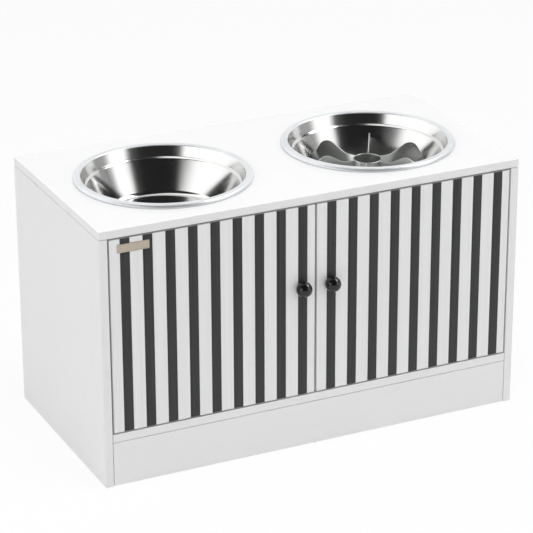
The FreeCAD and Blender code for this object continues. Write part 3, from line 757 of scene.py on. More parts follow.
def soft_box(form: bmesh.types.BMesh, low: Sequence[float], high: Sequence[float], rounding: float,
             segments: int = 2) -> None:
    """Add a box with rounded edges to a form.

    Args:
        form: Form to add to.
        low: Lowest corner.
        high: Highest corner.
        rounding: Radius of the edges.
        segments: Steps in each rounding.
    """
    size = [b - a for a, b in zip(low, high)]
    middle = [(a + b) / 2 for a, b in zip(low, high)]
    place = Matrix.Translation(middle) @ Matrix.Diagonal((*size, 1.0))
    verts = bmesh.ops.create_cube(form, size=1.0, matrix=place)["verts"]
    edges = {e for v in verts for e in v.link_edges}
    bmesh.ops.bevel(form, geom=list(edges), offset=rounding, segments=segments, profile=0.5, affect="EDGES")


class RepeatTree:
    """A Geometry Nodes tree with named inputs, which ends in plain faces of one material."""

    def __init__(self, name: str) -> None:
        """Start a tree that takes and gives geometry.

        Args:
            name: Name of the tree.
        """
        self.tree = bpy.data.node_groups.new(name, "GeometryNodeTree")
        self.tree.interface.new_socket("Geometry", in_out="INPUT", socket_type="NodeSocketGeometry")
        self.tree.interface.new_socket("Geometry", in_out="OUTPUT", socket_type="NodeSocketGeometry")
        self.identifiers: dict[str, str] = {}
        self.entry = self.tree.nodes.new("NodeGroupInput")

    def size(self, name: str, kind: str = "NodeSocketFloat") -> Socket:
        """Add a named input.

        Args:
            name: Name of the input.
            kind: Type of its socket.

        Returns:
            The socket inside the tree.
        """
        made = self.tree.interface.new_socket(name, in_out="INPUT", socket_type=kind)
        self.identifiers[name] = made.identifier
        return self.entry.outputs[name]

    def node(self, kind: str, settings: dict[str, object] | None = None,
             **inputs: object) -> bpy.types.Node:
        """Add a node and feed its inputs.

        Args:
            kind: Node type.
            settings: Properties of the node.
            **inputs: Sockets or values by input name, with _ for a space.

        Returns:
            The node.
        """
        made = self.tree.nodes.new(kind)
        for key, value in (settings or {}).items():
            setattr(made, key, value)
        for key, value in inputs.items():
            self.feed(made.inputs[key.replace("_", " ")], value)
        return made

    def feed(self, target: Socket, value: object) -> None:
        """Link a socket or set a value.

        Args:
            target: Input to feed.
            value: Socket or value.
        """
        if isinstance(value, Socket):
            self.tree.links.new(value, target)
        else:
            target.default_value = value

    def vector(self, x: object = 0.0, y: object = 0.0, z: object = 0.0) -> Socket:
        """A vector of sockets or values."""
        return self.node("ShaderNodeCombineXYZ", X=x, Y=y, Z=z).outputs["Vector"]

    def sum(self, operation: str, first: object, second: object) -> Socket:
        """The result of a Math node.

        Args:
            operation: What it does.
            first: First socket or value.
            second: Second socket or value.

        Returns:
            The result socket.
        """
        made = self.node("ShaderNodeMath", {"operation": operation})
        self.feed(made.inputs[0], first)
        self.feed(made.inputs[1], second)
        return made.outputs["Value"]

    def lifted(self, geometry: Socket, rise: object) -> Socket:
        """Geometry moved along Z by a socket or value."""
        moved = self.node("GeometryNodeTransform", Geometry=geometry, Translation=self.vector(z=rise))
        return moved.outputs["Geometry"]

    def close(self, instances: Socket) -> None:
        """Make the instances real, give them the material and end the tree.

        Args:
            instances: Geometry to end with.
        """
        real = self.node("GeometryNodeRealizeInstances", Geometry=instances)
        material = self.size("Material", "NodeSocketMaterial")
        worn = self.node("GeometryNodeSetMaterial", Geometry=real.outputs["Geometry"], Material=material)
        end = self.tree.nodes.new("NodeGroupOutput")
        self.tree.links.new(worn.outputs["Geometry"], end.inputs["Geometry"])

    def grow(self, name: str, seed: bpy.types.Mesh, finish: Finish, **sizes: float) -> bpy.types.Mesh:
        """Run the tree on a mesh.

        Args:
            name: Name of the new mesh.
            seed: Mesh that the tree takes in.
            finish: Finish of the result.
            **sizes: Values of the named inputs, with _ for a space.

        Returns:
            A plain mesh with its material.
        """
        holder = into_scene(f"{name}_seed", seed)
        modifier = holder.modifiers.new("repeat", "NODES")
        modifier.node_group = self.tree
        modifier[self.identifiers["Material"]] = finish.material()
        for key, value in sizes.items():
            modifier[self.identifiers[key.replace("_", " ")]] = value
        ready = holder.evaluated_get(bpy.context.evaluated_depsgraph_get())
        mesh = bpy.data.meshes.new_from_object(ready)
        mesh.name = name
        holder.modifiers.remove(modifier)
        bpy.data.objects.remove(holder)
        bpy.data.meshes.remove(seed)
        soften(mesh)
        return mesh


def row_tree() -> RepeatTree:
    """A tree that repeats its mesh along X.

    Returns:
        The tree, with inputs Count, Pitch and Material.
    """
    made = RepeatTree("row")
    count = made.size("Count", "NodeSocketInt")
    pitch = made.size("Pitch")
    points = made.node("GeometryNodeMeshLine", {"mode": "OFFSET"}, Count=count, Offset=made.vector(x=pitch))
    row = made.node("GeometryNodeInstanceOnPoints", Points=points.outputs["Mesh"],
                    Instance=made.entry.outputs["Geometry"])
    made.close(row.outputs["Instances"])
    return made


def spoke_tree() -> RepeatTree:
    """A tree that repeats its mesh round the Z axis.

    Returns:
        The tree, with inputs Count and Material.
    """
    made = RepeatTree("spokes")
    count = made.size("Count", "NodeSocketInt")
    points = made.node("GeometryNodePoints", Count=count)
    index = made.node("GeometryNodeInputIndex").outputs["Index"]
    turn = made.sum("DIVIDE", made.sum("MULTIPLY", index, 2 * math.pi), count)
    spokes = made.node("GeometryNodeInstanceOnPoints", Points=points.outputs["Points"],
                       Instance=made.entry.outputs["Geometry"], Rotation=made.vector(z=turn))
    made.close(spokes.outputs["Instances"])
    return made


def fastener_tree(form: HeadForm) -> RepeatTree:
    """A tree that puts a cross-slotted fastener on each point, aimed along the point's own direction.

    Args:
        form: Shape of the head.

    Returns:
        The tree, with inputs for the sizes of head, slot and shank, and Material.
    """
    made = RepeatTree(f"{form.value}_fasteners")
    radius, height = made.size("Head Radius"), made.size("Head Height")
    shank_radius, shank_length = made.size("Shank Radius"), made.size("Shank Length")
    slot_length, slot_width = made.size("Slot Length"), made.size("Slot Width")
    slot_height = made.sum("MULTIPLY", made.size("Slot Depth"), 2.0)
    if form is HeadForm.PAN:
        ball = made.node("GeometryNodeMeshUVSphere", Segments=28, Rings=14, Radius=1.0)
        dome = made.node("GeometryNodeTransform", Geometry=ball.outputs["Mesh"],
                         Scale=made.vector(radius, radius, height))
        head = dome.outputs["Geometry"]
    else:
        foot = shank_radius if form is HeadForm.SUNK else radius
        cone = made.node("GeometryNodeMeshCone", Vertices=32, Radius_Top=radius, Radius_Bottom=foot,
                         Depth=height)
        head = cone.outputs["Mesh"]
    cut = made.node("GeometryNodeMeshBoolean", {"operation": "DIFFERENCE"}, Mesh_1=head)
    for length, width in ((slot_length, slot_width), (slot_width, slot_length)):
        block = made.node("GeometryNodeMeshCube", Size=made.vector(length, width, slot_height))
        made.feed(cut.inputs["Mesh 2"], made.lifted(block.outputs["Mesh"], height))
    if form is HeadForm.PAN:
        wide = made.sum("MULTIPLY", radius, 3.0)
        deep = made.sum("MULTIPLY", height, 2.0)
        under = made.node("GeometryNodeMeshCube", Size=made.vector(wide, wide, deep))
        sunk = made.lifted(under.outputs["Mesh"], made.sum("MULTIPLY", height, -1.0))
        made.feed(cut.inputs["Mesh 2"], sunk)
    whole = made.node("GeometryNodeJoinGeometry")
    made.feed(whole.inputs["Geometry"], cut.outputs["Mesh"])
    if form is not HeadForm.CAM:
        shank = made.node("GeometryNodeMeshCylinder", Vertices=16, Radius=shank_radius, Depth=shank_length)
        down = made.lifted(shank.outputs["Mesh"], made.sum("MULTIPLY", shank_length, -0.5))
        made.feed(whole.inputs["Geometry"], down)
    aim = made.node("GeometryNodeInputNamedAttribute", {"data_type": "FLOAT_VECTOR"}, Name="aim")
    turn = made.node("FunctionNodeAlignRotationToVector", {"axis": "Z"}, Vector=aim.outputs["Attribute"])
    placed = made.node("GeometryNodeInstanceOnPoints", Points=made.entry.outputs["Geometry"],
                       Instance=whole.outputs["Geometry"], Rotation=turn.outputs["Rotation"])
    made.close(placed.outputs["Instances"])
    return made


@dataclass
class Cabinet:
    """The fixed boards, the back board and the foot under the plinth."""

    rim_overlap: float = 9.5 * MM

    def dress(self) -> None:
        """Give each board its coating, with the grain along its length."""
        bowls = [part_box(node) for node in ("water_bowl", "food_bowl")]
        low, high = bowls[0]
        hole = (high.x - low.x) / 2 - self.rim_overlap
        centres = tuple(((low.x + high.x) / 2, (low.y + high.y) / 2) for low, high in bowls)
        top = BoardFinish("white_top", WHITE, *BOARD_GLOSS, grain=Grain.ACROSS, holes=centres,
                          hole_radius=hole)
        long_boards = BoardFinish("white_long_boards", WHITE, *BOARD_GLOSS, grain=Grain.ACROSS)
        uprights = BoardFinish("white_uprights", WHITE, *BOARD_GLOSS, grain=Grain.UPRIGHT)
        for node, finish in (("top_panel", top), ("bottom_shelf", long_boards), ("plinth", long_boards),
                             ("left_side_panel", uprights), ("right_side_panel", uprights),
                             ("back_panel", BACK_FINISH), ("wood_dowels", BEECH_FINISH),
                             ("cam_bolts", ZINC_FINISH)):
            dress_node(node, finish)
        smooth_copy("centre_glide", Body.CABINET, GLIDE_FINISH)


@dataclass
class Door:
    """A striped door board with its inlaid strips and its ball knob."""

    side: Side
    strip_width: float = 13.4 * MM
    strip_pitch: float = 30.8 * MM
    strip_edge: float = 0.2 * MM
    knob_radius: float = 10.6 * MM
    spigot_radius: float = 5.5 * MM
    spigot_length: float = 1.4 * MM
    knob_steps: int = 40
    knob_segments: int = 64
    tones: tuple[float, float] = (0.97, 1.03)

    def build(self) -> None:
        """Coat the door and build the strips and the knob."""
        self.dress()
        self.build_strips()
        self.build_knob()

    def dress(self) -> None:
        """Coat the door board."""
        coat = BoardFinish("white_doors", WHITE, *BOARD_GLOSS, self.tones, grain=Grain.FINE_UPRIGHT)
        dress_node(f"{self.side.value}_door", coat)

    def build_strips(self) -> None:
        """Repeat one soft-edged strip across the door."""
        node = f"{self.side.value}_door_stripes"
        low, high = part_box(node)
        form = bmesh.new()
        soft_box(form, low, (low.x + self.strip_width, high.y, high.z), self.strip_edge)
        seed = as_mesh("strip", form)
        count = round((high.x - low.x - self.strip_width) / self.strip_pitch) + 1
        mesh = row_tree().grow(f"{self.side.value}_strips", seed, STRIPE_FINISH,
                               Count=count, Pitch=self.strip_pitch)
        add_piece(mesh, self.side.door, [node])

    def build_knob(self) -> None:
        """Turn the ball knob, cut flat where it meets the door, with a spigot behind."""
        node = f"{self.side.value}_knob"
        low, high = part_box(node)
        middle = (low + high) / 2
        ball = low.y + self.knob_radius
        flat = high.y - self.spigot_length
        outline = [(0.0, high.y), (self.spigot_radius, high.y), (self.spigot_radius, flat)]
        first = math.acos((flat - ball) / self.knob_radius)
        for i in range(self.knob_steps):
            turn = first + (math.pi - first) * i / self.knob_steps
            outline.append((self.knob_radius * math.sin(turn), ball + self.knob_radius * math.cos(turn)))
        outline.append((0.0, low.y))
        place = Matrix(((1, 0, 0, middle.x), (0, 0, 1, 0), (0, -1, 0, middle.z), (0, 0, 0, 1)))
        mesh = lathe(f"{self.side.value}_ball_knob", outline, place, self.knob_segments)
        add_piece(mesh, self.side.door, [node], [KNOB_FINISH])


@dataclass
class NamePlate:
    """The small blank metal plate on the left door, with a raised border."""

    border: float = 1.0 * MM
    sunk: float = 0.25 * MM
    corner: float = 1.0 * MM
    least_corner: float = 0.2 * MM
    corner_steps: int = 6
    edge: float = 0.15 * MM

    def build(self) -> None:
        """Build the plate from its face outline."""
        low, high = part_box("name_plate")
        form = bmesh.new()
        front, back = low.y, high.y
        levels = ((0.0, back), (0.0, front + self.edge), (self.edge, front),
                  (self.border, front), (self.border + self.sunk, front + self.sunk))
        rings = [[form.verts.new((x, y, z)) for x, z in self.outline(low, high, inset)]
                 for inset, y in levels]
        for ring, following in zip(rings, rings[1:]):
            for i in range(len(ring)):
                j = (i + 1) % len(ring)
                form.faces.new((ring[i], ring[j], following[j], following[i]))
        form.faces.new(rings[0])
        form.faces.new(rings[-1])
        mesh = as_mesh("blank_plate", form)
        add_piece(mesh, Body.LEFT_DOOR, ["name_plate"], [PLATE_FINISH])

    def outline(self, low: Vector, high: Vector, inset: float) -> list[tuple[float, float]]:
        """The plate's face outline, drawn in by an inset.

        Args:
            low: Lowest corner of the plate.
            high: Highest corner of the plate.
            inset: Distance inside the plate's edge.

        Returns:
            Points of x and z round the outline.
        """
        radius = max(self.corner - inset, self.least_corner)
        points = []
        corners = ((high.x, high.z), (low.x, high.z), (low.x, low.z), (high.x, low.z))
        for quarter, (x, z) in enumerate(corners):
            cx = x - math.copysign(inset + radius, x - (low.x + high.x) / 2)
            cz = z - math.copysign(inset + radius, z - (low.z + high.z) / 2)
            for i in range(self.corner_steps + 1):
                turn = math.pi / 2 * (quarter + i / self.corner_steps)
                points.append((cx + radius * math.cos(turn), cz + radius * math.sin(turn)))
        return points


@dataclass
class Bowl:
    """A spun steel bowl with a rolled rim, a shoulder and a raised floor.

    Its sizes are in millimetres along the middle of the sheet, with heights from the tabletop.
    """

    node: str
    body: Body
    sheet: float = 0.8
    rim_height: float = 5.2
    rim_radius: float = 117.6
    rim_width: float = 9.0
    rim_foot: float = 4.0
    rim_inner_bend: float = 2.0
    rim_outer_bend: float = 3.6
    rim_foot_bend: float = 0.6
    shoulder_radius: float = 103.2
    shoulder_drop: float = 10.0
    shoulder_step: float = 3.0
    shoulder_fall: float = 2.0
    shoulder_bend: float = 1.6
    foot_radius: float = 80.0
    foot_bend: float = 9.0
    depth: float = 56.0
    floor_radius: float = 71.0
    floor_slope: float = 2.5
    floor_raise: float = 1.5
    floor_bend: float = 1.2
    polish_margin: float = 1.0
    bend_step: float = 6.0
    segments: int = 144

    def path(self) -> list[PathPoint]:
        """The middle line of the sheet, from the floor's centre to the rolled edge.

        Returns:
            Corners as radius, height and bend.
        """
        under, top = self.sheet / 2, self.rim_height - self.sheet / 2
        floor = -self.depth
        return [(0, floor + self.floor_raise, 0),
                (self.floor_radius, floor + self.floor_raise, self.floor_bend),
                (self.floor_radius + self.floor_slope, floor, self.floor_bend),
                (self.foot_radius, floor, self.foot_bend),
                (self.shoulder_radius - self.shoulder_step, -self.shoulder_drop - self.shoulder_fall,
                 self.shoulder_bend),
                (self.shoulder_radius, -self.shoulder_drop, self.shoulder_bend),
                (self.rim_radius - self.rim_width, top, self.rim_inner_bend),
                (self.rim_radius, top, self.rim_outer_bend),
                (self.rim_radius, under, self.rim_foot_bend),
                (self.rim_radius - self.rim_foot, under, 0)]

    def build(self) -> None:
        """Turn the bowl, polished inside and satin on the rim and outside."""
        low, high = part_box(self.node)
        centre = (low + high) / 2
        middle = rounded_path(self.path(), self.bend_step)
        outline = [(r * MM, z * MM) for r, z in sheet_outline(middle, self.sheet)]
        polished = self.rim_radius - self.rim_width - self.polish_margin
        mouth = sum(r < polished for r, _ in middle)
        top = high.z - self.rim_height * MM
        place = Matrix.Translation((centre.x, centre.y, top))
        mesh = lathe(f"{self.node}_spun", outline, place, self.segments, mouth)
        spot = (centre.x, centre.y)
        inside = TurnedSteelFinish(f"{self.node}_polish", (0.62, 0.62, 0.613), 0.10, 0.18, centre=spot)
        outside = TurnedSteelFinish(f"{self.node}_satin", (0.67, 0.685, 0.70), 0.34, 0.42, centre=spot,
                                    line_pitch=0.4 * MM, metallic=0.7)
        add_piece(mesh, self.body, [self.node], [inside, outside])


@dataclass
class SlowFeeder:
    """The insert that is fixed to the food bowl's floor: a ring with fins round it.

    Each fin has a level stretch beside the ring, rises to a crest and falls past it to the tip.
    """

    fins: int = 6
    sheet: float = 1.6 * MM
    edge: float = 0.35 * MM
    ring_bend: float = 0.72 * MM
    ring_step: float = 15.0
    ring_segments: int = 72
    level: float = 15.9 * MM
    level_bend: float = 20.0 * MM
    crest_back: float = 14.0 * MM
    crest_rise: float = 18.6 * MM
    crest_bend: float = 16.0 * MM
    tip_past: float = 0.5 * MM
    tip_drop: float = 7.0 * MM
    tip_bend: float = 5.0 * MM
    foot_back: float = 13.5 * MM
    fin_step: float = 7.0
    least_corner: float = math.radians(60)

    def build(self) -> None:
        """Build the ring and the fins."""
        low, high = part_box("slow_feeder_ring")
        centre = (low + high) / 2
        outer = (high.x - low.x) / 2
        self.build_ring(centre, outer, low.z, high.z)
        self.build_fins(centre, outer, low.z, high.z)

    def build_ring(self, centre: Vector, outer: float, floor: float, top: float) -> None:
        """Turn the ring, with a rounded upper edge.

        Args:
            centre: Middle of the ring.
            outer: Outer radius.
            floor: Height of its foot.
            top: Height of its upper edge.
        """
        inner = outer - self.sheet
        corners = [(inner, floor, 0), (inner, top, self.ring_bend), (outer, top, self.ring_bend),
                   (outer, floor, 0)]
        place = Matrix.Translation((centre.x, centre.y, 0))
        mesh = lathe("feeder_ring", rounded_path(corners, self.ring_step), place, self.ring_segments)
        add_piece(mesh, Body.FOOD_BOWL, ["slow_feeder_ring"], [INSERT_FINISH])

    def build_fins(self, centre: Vector, outer: float, floor: float, top: float) -> None:
        """Cut one soft-edged fin and repeat it round the ring.

        Args:
            centre: Middle of the ring.
            outer: Outer radius of the ring.
            floor: Height of the fins' feet.
            top: Height of the level stretch beside the ring.
        """
        nodes = [f"slow_feeder_fin_{i + 1}" for i in range(self.fins)]
        tip = max(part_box(n)[1].x for n in nodes) - centre.x
        corners = [(outer, floor, 0), (outer, top, 0), (outer + self.level, top, self.level_bend),
                   (tip - self.crest_back, top + self.crest_rise, self.crest_bend),
                   (tip + self.tip_past, top - self.tip_drop, self.tip_bend),
                   (tip - self.foot_back, floor, 0)]
        outline = rounded_path(corners, self.fin_step)
        form = bmesh.new()
        side = form.faces.new([form.verts.new((r, -self.sheet / 2, z)) for r, z in outline])
        walls = bmesh.ops.extrude_face_region(form, geom=[side])["geom"]
        moved = [g for g in walls if isinstance(g, bmesh.types.BMVert)]
        bmesh.ops.translate(form, verts=moved, vec=(0, self.sheet, 0))
        rims = [e for e in form.edges if len(e.link_faces) == 2
                and e.calc_face_angle(0.0) > self.least_corner
                and abs(e.verts[0].co.y - e.verts[1].co.y) < WELD
                and max(v.co.z for v in e.verts) > floor + SLIVER
                and max(v.co.x for v in e.verts) > outer + SLIVER]
        bmesh.ops.bevel(form, geom=rims, offset=self.edge, segments=2, profile=0.5, affect="EDGES")
        seed = as_mesh("fin", form)
        mesh = spoke_tree().grow("feeder_fins", seed, INSERT_FINISH, Count=self.fins)
        mesh.transform(Matrix.Translation((centre.x, centre.y, 0)))
        add_piece(mesh, Body.FOOD_BOWL, nodes)


@dataclass
class Fasteners:
    """Cross-slotted screws and cam locks, put where the CAD model has them."""

    head_radius: float = 3.3 * MM
    head_height: float = 2.0 * MM
    shank_radius: float = 1.5 * MM
    slot_length: float = 3.8 * MM
    slot_width: float = 0.9 * MM
    slot_depth: float = 1.1 * MM
    cam_radius: float = 7.45 * MM
    cam_slot_length: float = 9.0 * MM
    cam_slot_width: float = 1.6 * MM
    cam_slot_depth: float = 2.0 * MM

    def build(self) -> None:
        """Build every visible set of fasteners."""
        self.screws("hinge_plate_screws", Body.CABINET, HeadForm.PAN, Aim.INWARD)
        self.screws("hinge_arm_screws", Body.CABINET, HeadForm.PAN, Aim.INWARD)
        self.screws("catch_screws", Body.CABINET, HeadForm.PAN, Aim.DOWN)
        for side in Side:
            self.screws(f"{side.value}_hinge_cup_screws", side.door, HeadForm.PAN, Aim.REAR)
            self.screws(f"{side.value}_strike_screw", side.door, HeadForm.SUNK, Aim.REAR)
            self.screws(f"{side.value}_knob_screw", side.door, HeadForm.PAN, Aim.REAR)
        self.cams()

    def points(self, node: str, aim: Aim, head: float) -> bpy.types.Mesh:
        """A point under each fastener's head, with the direction that the head faces.

        Args:
            node: CAD node of the fasteners.
            aim: The way that their heads face.
            head: Height of a head.

        Returns:
            A mesh of points with an aim attribute.
        """
        places, aims = [], []
        for low, high in islands(node):
            way = aim.way(low, high)
            middle = (low + high) / 2
            reach = abs((high - low).dot(way)) / 2
            places.append(middle + way * (reach - head))
            aims.append(way)
        mesh = bpy.data.meshes.new(f"{node}_points")
        mesh.from_pydata(places, [], [])
        layer = mesh.attributes.new("aim", "FLOAT_VECTOR", "POINT")
        layer.data.foreach_set("vector", [v for way in aims for v in way])
        return mesh

    def screws(self, node: str, body: Body, form: HeadForm, aim: Aim) -> None:
        """Put a set of screws in place.

        Args:
            node: CAD node of the screws.
            body: Body that they ride on.
            form: Shape of their heads.
            aim: The way that their heads face.
        """
        low, high = islands(node)[0]
        length = abs((high - low).dot(aim.way(low, high)))
        mesh = fastener_tree(form).grow(
            f"fitted_{node}", self.points(node, aim, self.head_height), ZINC_FINISH,
            Head_Radius=self.head_radius, Head_Height=self.head_height, Shank_Radius=self.shank_radius,
            Shank_Length=length - self.head_height, Slot_Length=self.slot_length, Slot_Width=self.slot_width,
            Slot_Depth=self.slot_depth)
        add_piece(mesh, body, [node])

    def cams(self) -> None:
        """Put the cam locks in place, each open towards the face that it is drilled from."""
        low, high = islands("cam_locks")[0]
        depth = min(high - low)
        mesh = fastener_tree(HeadForm.CAM).grow(
            "fitted_cam_locks", self.points("cam_locks", Aim.SHORT_SIDE, depth), CAST_FINISH,
            Head_Radius=self.cam_radius, Head_Height=depth, Slot_Length=self.cam_slot_length,
            Slot_Width=self.cam_slot_width, Slot_Depth=self.cam_slot_depth)
        add_piece(mesh, Body.CABINET, ["cam_locks"])


@dataclass
class Hardware:
    """The concealed hinges and the magnetic catches."""

    levels: tuple[str, str] = ("lower", "upper")

    def build(self) -> None:
        """Smooth the hinges and the catches and dress them."""
        for side in Side:
            for level in self.levels:
                for part, body in (("arm", Body.CABINET), ("plate", Body.CABINET), ("cup", side.door),
                                   ("pin", side.door)):
                    smooth_copy(f"{side.value}_{level}_hinge_{part}", body, HINGE_FINISH)
            smooth_copy(f"{side.value}_catch_housing", Body.CABINET, CATCH_FINISH)
            smooth_copy(f"{side.value}_catch_magnet", Body.CABINET, MAGNET_FINISH)
            smooth_copy(f"{side.value}_strike_plate", side.door, ZINC_FINISH)


@dataclass(frozen=True)
class SoftBox:
    """A rectangular studio lamp that points at the object and doesn't show in mirrors."""

    name: str
    place: tuple[float, float, float]
    width: float
    height: float
    power: float

    def build(self, target: Vector) -> None:
        """Hang the lamp.

        Args:
            target: Point that it faces.
        """
        lamp = bpy.data.lights.new(self.name, "AREA")
        lamp.shape = "RECTANGLE"
        lamp.size, lamp.size_y = self.width, self.height
        lamp.energy = self.power
        holder = into_scene(self.name, lamp)
        holder.location = self.place
        holder.rotation_euler = (target - Vector(self.place)).to_track_quat("-Z", "Y").to_euler()
        holder.visible_glossy = False


@dataclass(frozen=True)
class Hood:
    """A dark stretch of the screen between two azimuths, above a height, all in degrees."""

    left: float
    right: float
    above: float
    paleness: float

    def covers(self, turn: float, rise: float) -> bool:
        """Whether the hood lies in a direction."""
        return self.left < turn < self.right and rise > self.above


@dataclass
class DarkScreen:
    """Dark cloth hung round the studio, paler in places, which only mirrors in glossy surfaces.

    Its angles are in degrees. A lit strip rises across the dark hood on the right. The cloths are
    azimuths, each with how pale the cloth is there.
    """

    radius: float = 5.0
    bottom: float = 5.0
    top: float = 89.0
    step: float = 2.0
    hoods: tuple[Hood, ...] = (Hood(left=-100, right=115, above=31, paleness=0.02),
                               Hood(left=72, right=92, above=19, paleness=0.15))
    strip_from: float = 52.0
    strip_to: float = 105.0
    strip_rise: float = 43.0
    strip_slope: float = 0.27
    strip_half: float = 13.0
    strip_paleness: float = 6.5
    cloths: tuple[tuple[float, float], ...] = (
        (-180, 1.1), (-140, 1.6), (-90, 1.75), (-62, 1.8), (-55.5, 1.65), (-51, 0.5), (-47.5, 0.15),
        (-42, 0.05), (-38, 0.03), (5, 0.03), (12, 0.05), (20, 0.1), (25, 0.15), (29, 0.75), (33, 1.6),
        (36, 1.75), (55, 1.75), (60, 1.6), (64, 1.0), (69, 0.55), (88, 0.5), (94, 1.2), (150, 1.1),
        (180, 1.1))

    def build(self) -> None:
        """Hang the cloth as part of a dome."""
        form = bmesh.new()
        layer = form.verts.layers.float.new("paleness")
        grid = []
        for turn in self.degrees(self.cloths[0][0], self.cloths[-1][0]):
            row = []
            for rise in self.degrees(self.bottom, self.top):
                a, e = math.radians(turn), math.radians(rise)
                way = Vector((math.sin(a) * math.cos(e), -math.cos(a) * math.cos(e), math.sin(e)))
                vert = form.verts.new(way * self.radius)
                vert[layer] = self.paleness(turn, rise)
                row.append(vert)
            grid.append(row)
        for row, following in zip(grid, grid[1:]):
            for i in range(len(row) - 1):
                form.faces.new((row[i], following[i], following[i + 1], row[i + 1]))
        mesh = plain_mesh("dark_screen", form)
        mesh.materials.append(self.cloth())
        screen = into_scene("dark_screen", mesh)
        screen.visible_camera = screen.visible_diffuse = screen.visible_shadow = False
        screen.visible_transmission = screen.visible_volume_scatter = False

    def paleness(self, turn: float, rise: float) -> float:
        """How pale the cloth is in a direction.

        Args:
            turn: Azimuth in degrees, from the front to the right.
            rise: Height above the horizon in degrees.

        Returns:
            Zero for black, one for white and more where it is lit.
        """
        middle = self.strip_rise + self.strip_slope * (turn - self.strip_from)
        if self.strip_from < turn < self.strip_to and abs(rise - middle) < self.strip_half:
            return self.strip_paleness
        for hood in self.hoods:
            if hood.covers(turn, rise):
                return hood.paleness
        for (a, first), (b, last) in zip(self.cloths, self.cloths[1:]):
            if a <= turn <= b:
                return first + (last - first) * (turn - a) / (b - a)
        return 1.0

    def degrees(self, first: float, last: float) -> list[float]:
        """Even steps from a first to a last angle."""
        count = math.ceil((last - first) / self.step)
        return [first + (last - first) * i / count for i in range(count + 1)]

    def cloth(self) -> bpy.types.Material:
        """The screen's material, which shows the paleness of its points.

        Returns:
            The material.
        """
        made = bpy.data.materials.new("screen_cloth")
        made.use_nodes = True
        tree = made.node_tree
        tree.nodes.remove(tree.nodes["Principled BSDF"])
        paleness = tree.nodes.new("ShaderNodeAttribute")
        paleness.attribute_name = "paleness"
        glow = tree.nodes.new("ShaderNodeEmission")
        tree.links.new(paleness.outputs["Fac"], glow.inputs["Strength"])
        tree.links.new(glow.outputs["Emission"], tree.nodes["Material Output"].inputs["Surface"])
        return made


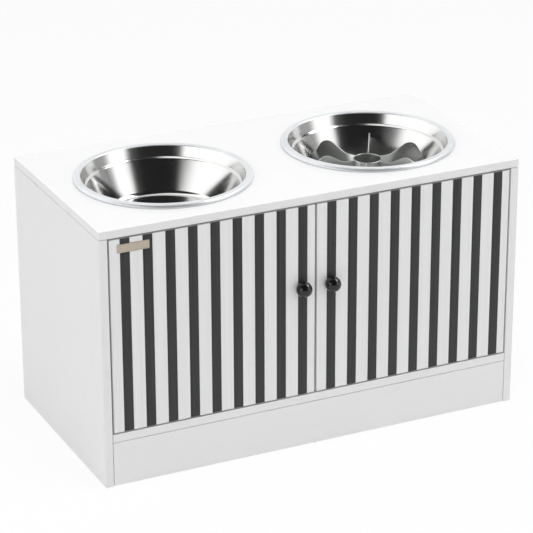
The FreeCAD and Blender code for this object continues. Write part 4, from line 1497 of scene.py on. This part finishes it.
@dataclass
class Studio:
    """The floor, the light and the camera."""

    eye: tuple[float, float, float] = (-1.34761, -2.82284, 1.50925)
    sight: tuple[float, float, float] = (0.39648923, 0.83305436, -0.38576782)
    roll: float = math.radians(0.177)
    lens: float = 169.95
    sensor: float = 36.0
    daylight: float = 0.62
    floor_reach: float = 9.0
    floor_colour: Colour = (0.86, 0.86, 0.86)
    floor_white: float = 0.90
    lamps: tuple[SoftBox, ...] = (
        SoftBox("overhead", place=(0.1, -0.5, 2.7), width=1.5, height=1.2, power=30.0),
        SoftBox("right_side", place=(2.7, -1.5, 0.9), width=1.0, height=1.4, power=12.5),
        SoftBox("left_side", place=(-2.8, -0.4, 1.5), width=1.0, height=1.4, power=16.0))

    def build(self) -> None:
        """Build the whole studio."""
        self.build_world()
        self.build_floor()
        self.build_camera()
        low, high = CAD_BOX
        middle = (Vector(low) + Vector(high)) / 2
        for lamp in self.lamps:
            lamp.build(middle)
        DarkScreen().build()

    def seen_directly(self, tree: bpy.types.NodeTree) -> Socket:
        """A factor of one for rays that come from the camera or mirror the surroundings.

        Args:
            tree: Node tree to add to.

        Returns:
            The factor socket.
        """
        path = tree.nodes.new("ShaderNodeLightPath")
        total = path.outputs["Is Camera Ray"]
        for name in ("Is Glossy Ray", "Is Transmission Ray"):
            more = tree.nodes.new("ShaderNodeMath")
            more.operation = "MAXIMUM"
            tree.links.new(total, more.inputs[0])
            tree.links.new(path.outputs[name], more.inputs[1])
            total = more.outputs["Value"]
        return total

    def build_world(self) -> None:
        """Surround the object with white, which lights it at a plain level."""
        world = bpy.data.worlds.new("studio")
        bpy.context.scene.world = world
        world.use_nodes = True
        tree = world.node_tree
        sky = tree.nodes["Background"]
        sky.inputs["Color"].default_value = (1, 1, 1, 1)
        level = tree.nodes.new("ShaderNodeMapRange")
        level.inputs["To Min"].default_value = self.daylight
        level.inputs["To Max"].default_value = 1.0
        tree.links.new(self.seen_directly(tree), level.inputs["Value"])
        tree.links.new(level.outputs["Result"], sky.inputs["Strength"])

    def build_floor(self) -> None:
        """Lay a pale floor that keeps the object's shadow."""
        form = bmesh.new()
        bmesh.ops.create_grid(form, x_segments=1, y_segments=1, size=self.floor_reach)
        mesh = plain_mesh("floor", form)
        floor = into_scene("floor", mesh)
        paint = bpy.data.materials.new("pale_floor")
        paint.use_nodes = True
        tree = paint.node_tree
        matt = tree.nodes["Principled BSDF"]
        matt.inputs["Base Color"].default_value = (*self.floor_colour, 1)
        matt.inputs["Roughness"].default_value = 1.0
        matt.inputs["Specular IOR Level"].default_value = 0.0
        glow = tree.nodes.new("ShaderNodeEmission")
        mix = tree.nodes.new("ShaderNodeMixShader")
        part = tree.nodes.new("ShaderNodeMath")
        part.operation = "MULTIPLY"
        part.inputs[1].default_value = self.floor_white
        tree.links.new(self.seen_directly(tree), part.inputs[0])
        tree.links.new(part.outputs["Value"], mix.inputs["Fac"])
        tree.links.new(matt.outputs["BSDF"], mix.inputs[1])
        tree.links.new(glow.outputs["Emission"], mix.inputs[2])
        tree.links.new(mix.outputs["Shader"], tree.nodes["Material Output"].inputs["Surface"])
        mesh.materials.append(paint)

    def build_camera(self) -> None:
        """Set the camera at the photograph's viewpoint."""
        ahead = Vector(self.sight).normalized()
        level = ahead.cross(Vector((0, 0, 1))).normalized()
        upright = level.cross(ahead)
        right = level * math.cos(self.roll) - upright * math.sin(self.roll)
        up = upright * math.cos(self.roll) + level * math.sin(self.roll)
        lens = bpy.data.cameras.new("camera")
        lens.lens = self.lens
        lens.sensor_width = self.sensor
        lens.sensor_fit = "HORIZONTAL"
        camera = into_scene("camera", lens)
        turned = Matrix((right, up, -ahead)).transposed().to_4x4()
        camera.matrix_world = Matrix.Translation(self.eye) @ turned
        bpy.context.scene.camera = camera


def main() -> None:
    """Build every sub-assembly in order, then the studio."""
    logging.basicConfig(level=logging.INFO, format="%(name)s: %(message)s")
    Cabinet().dress()
    for side in Side:
        Door(side).build()
    NamePlate().build()
    Hardware().build()
    Fasteners().build()
    Bowl("water_bowl", Body.WATER_BOWL).build()
    Bowl("food_bowl", Body.FOOD_BOWL).build()
    SlowFeeder().build()
    Studio().build()
    bpy.context.scene.view_settings.view_transform = "Standard"


if __name__ == "__main__":
    main()
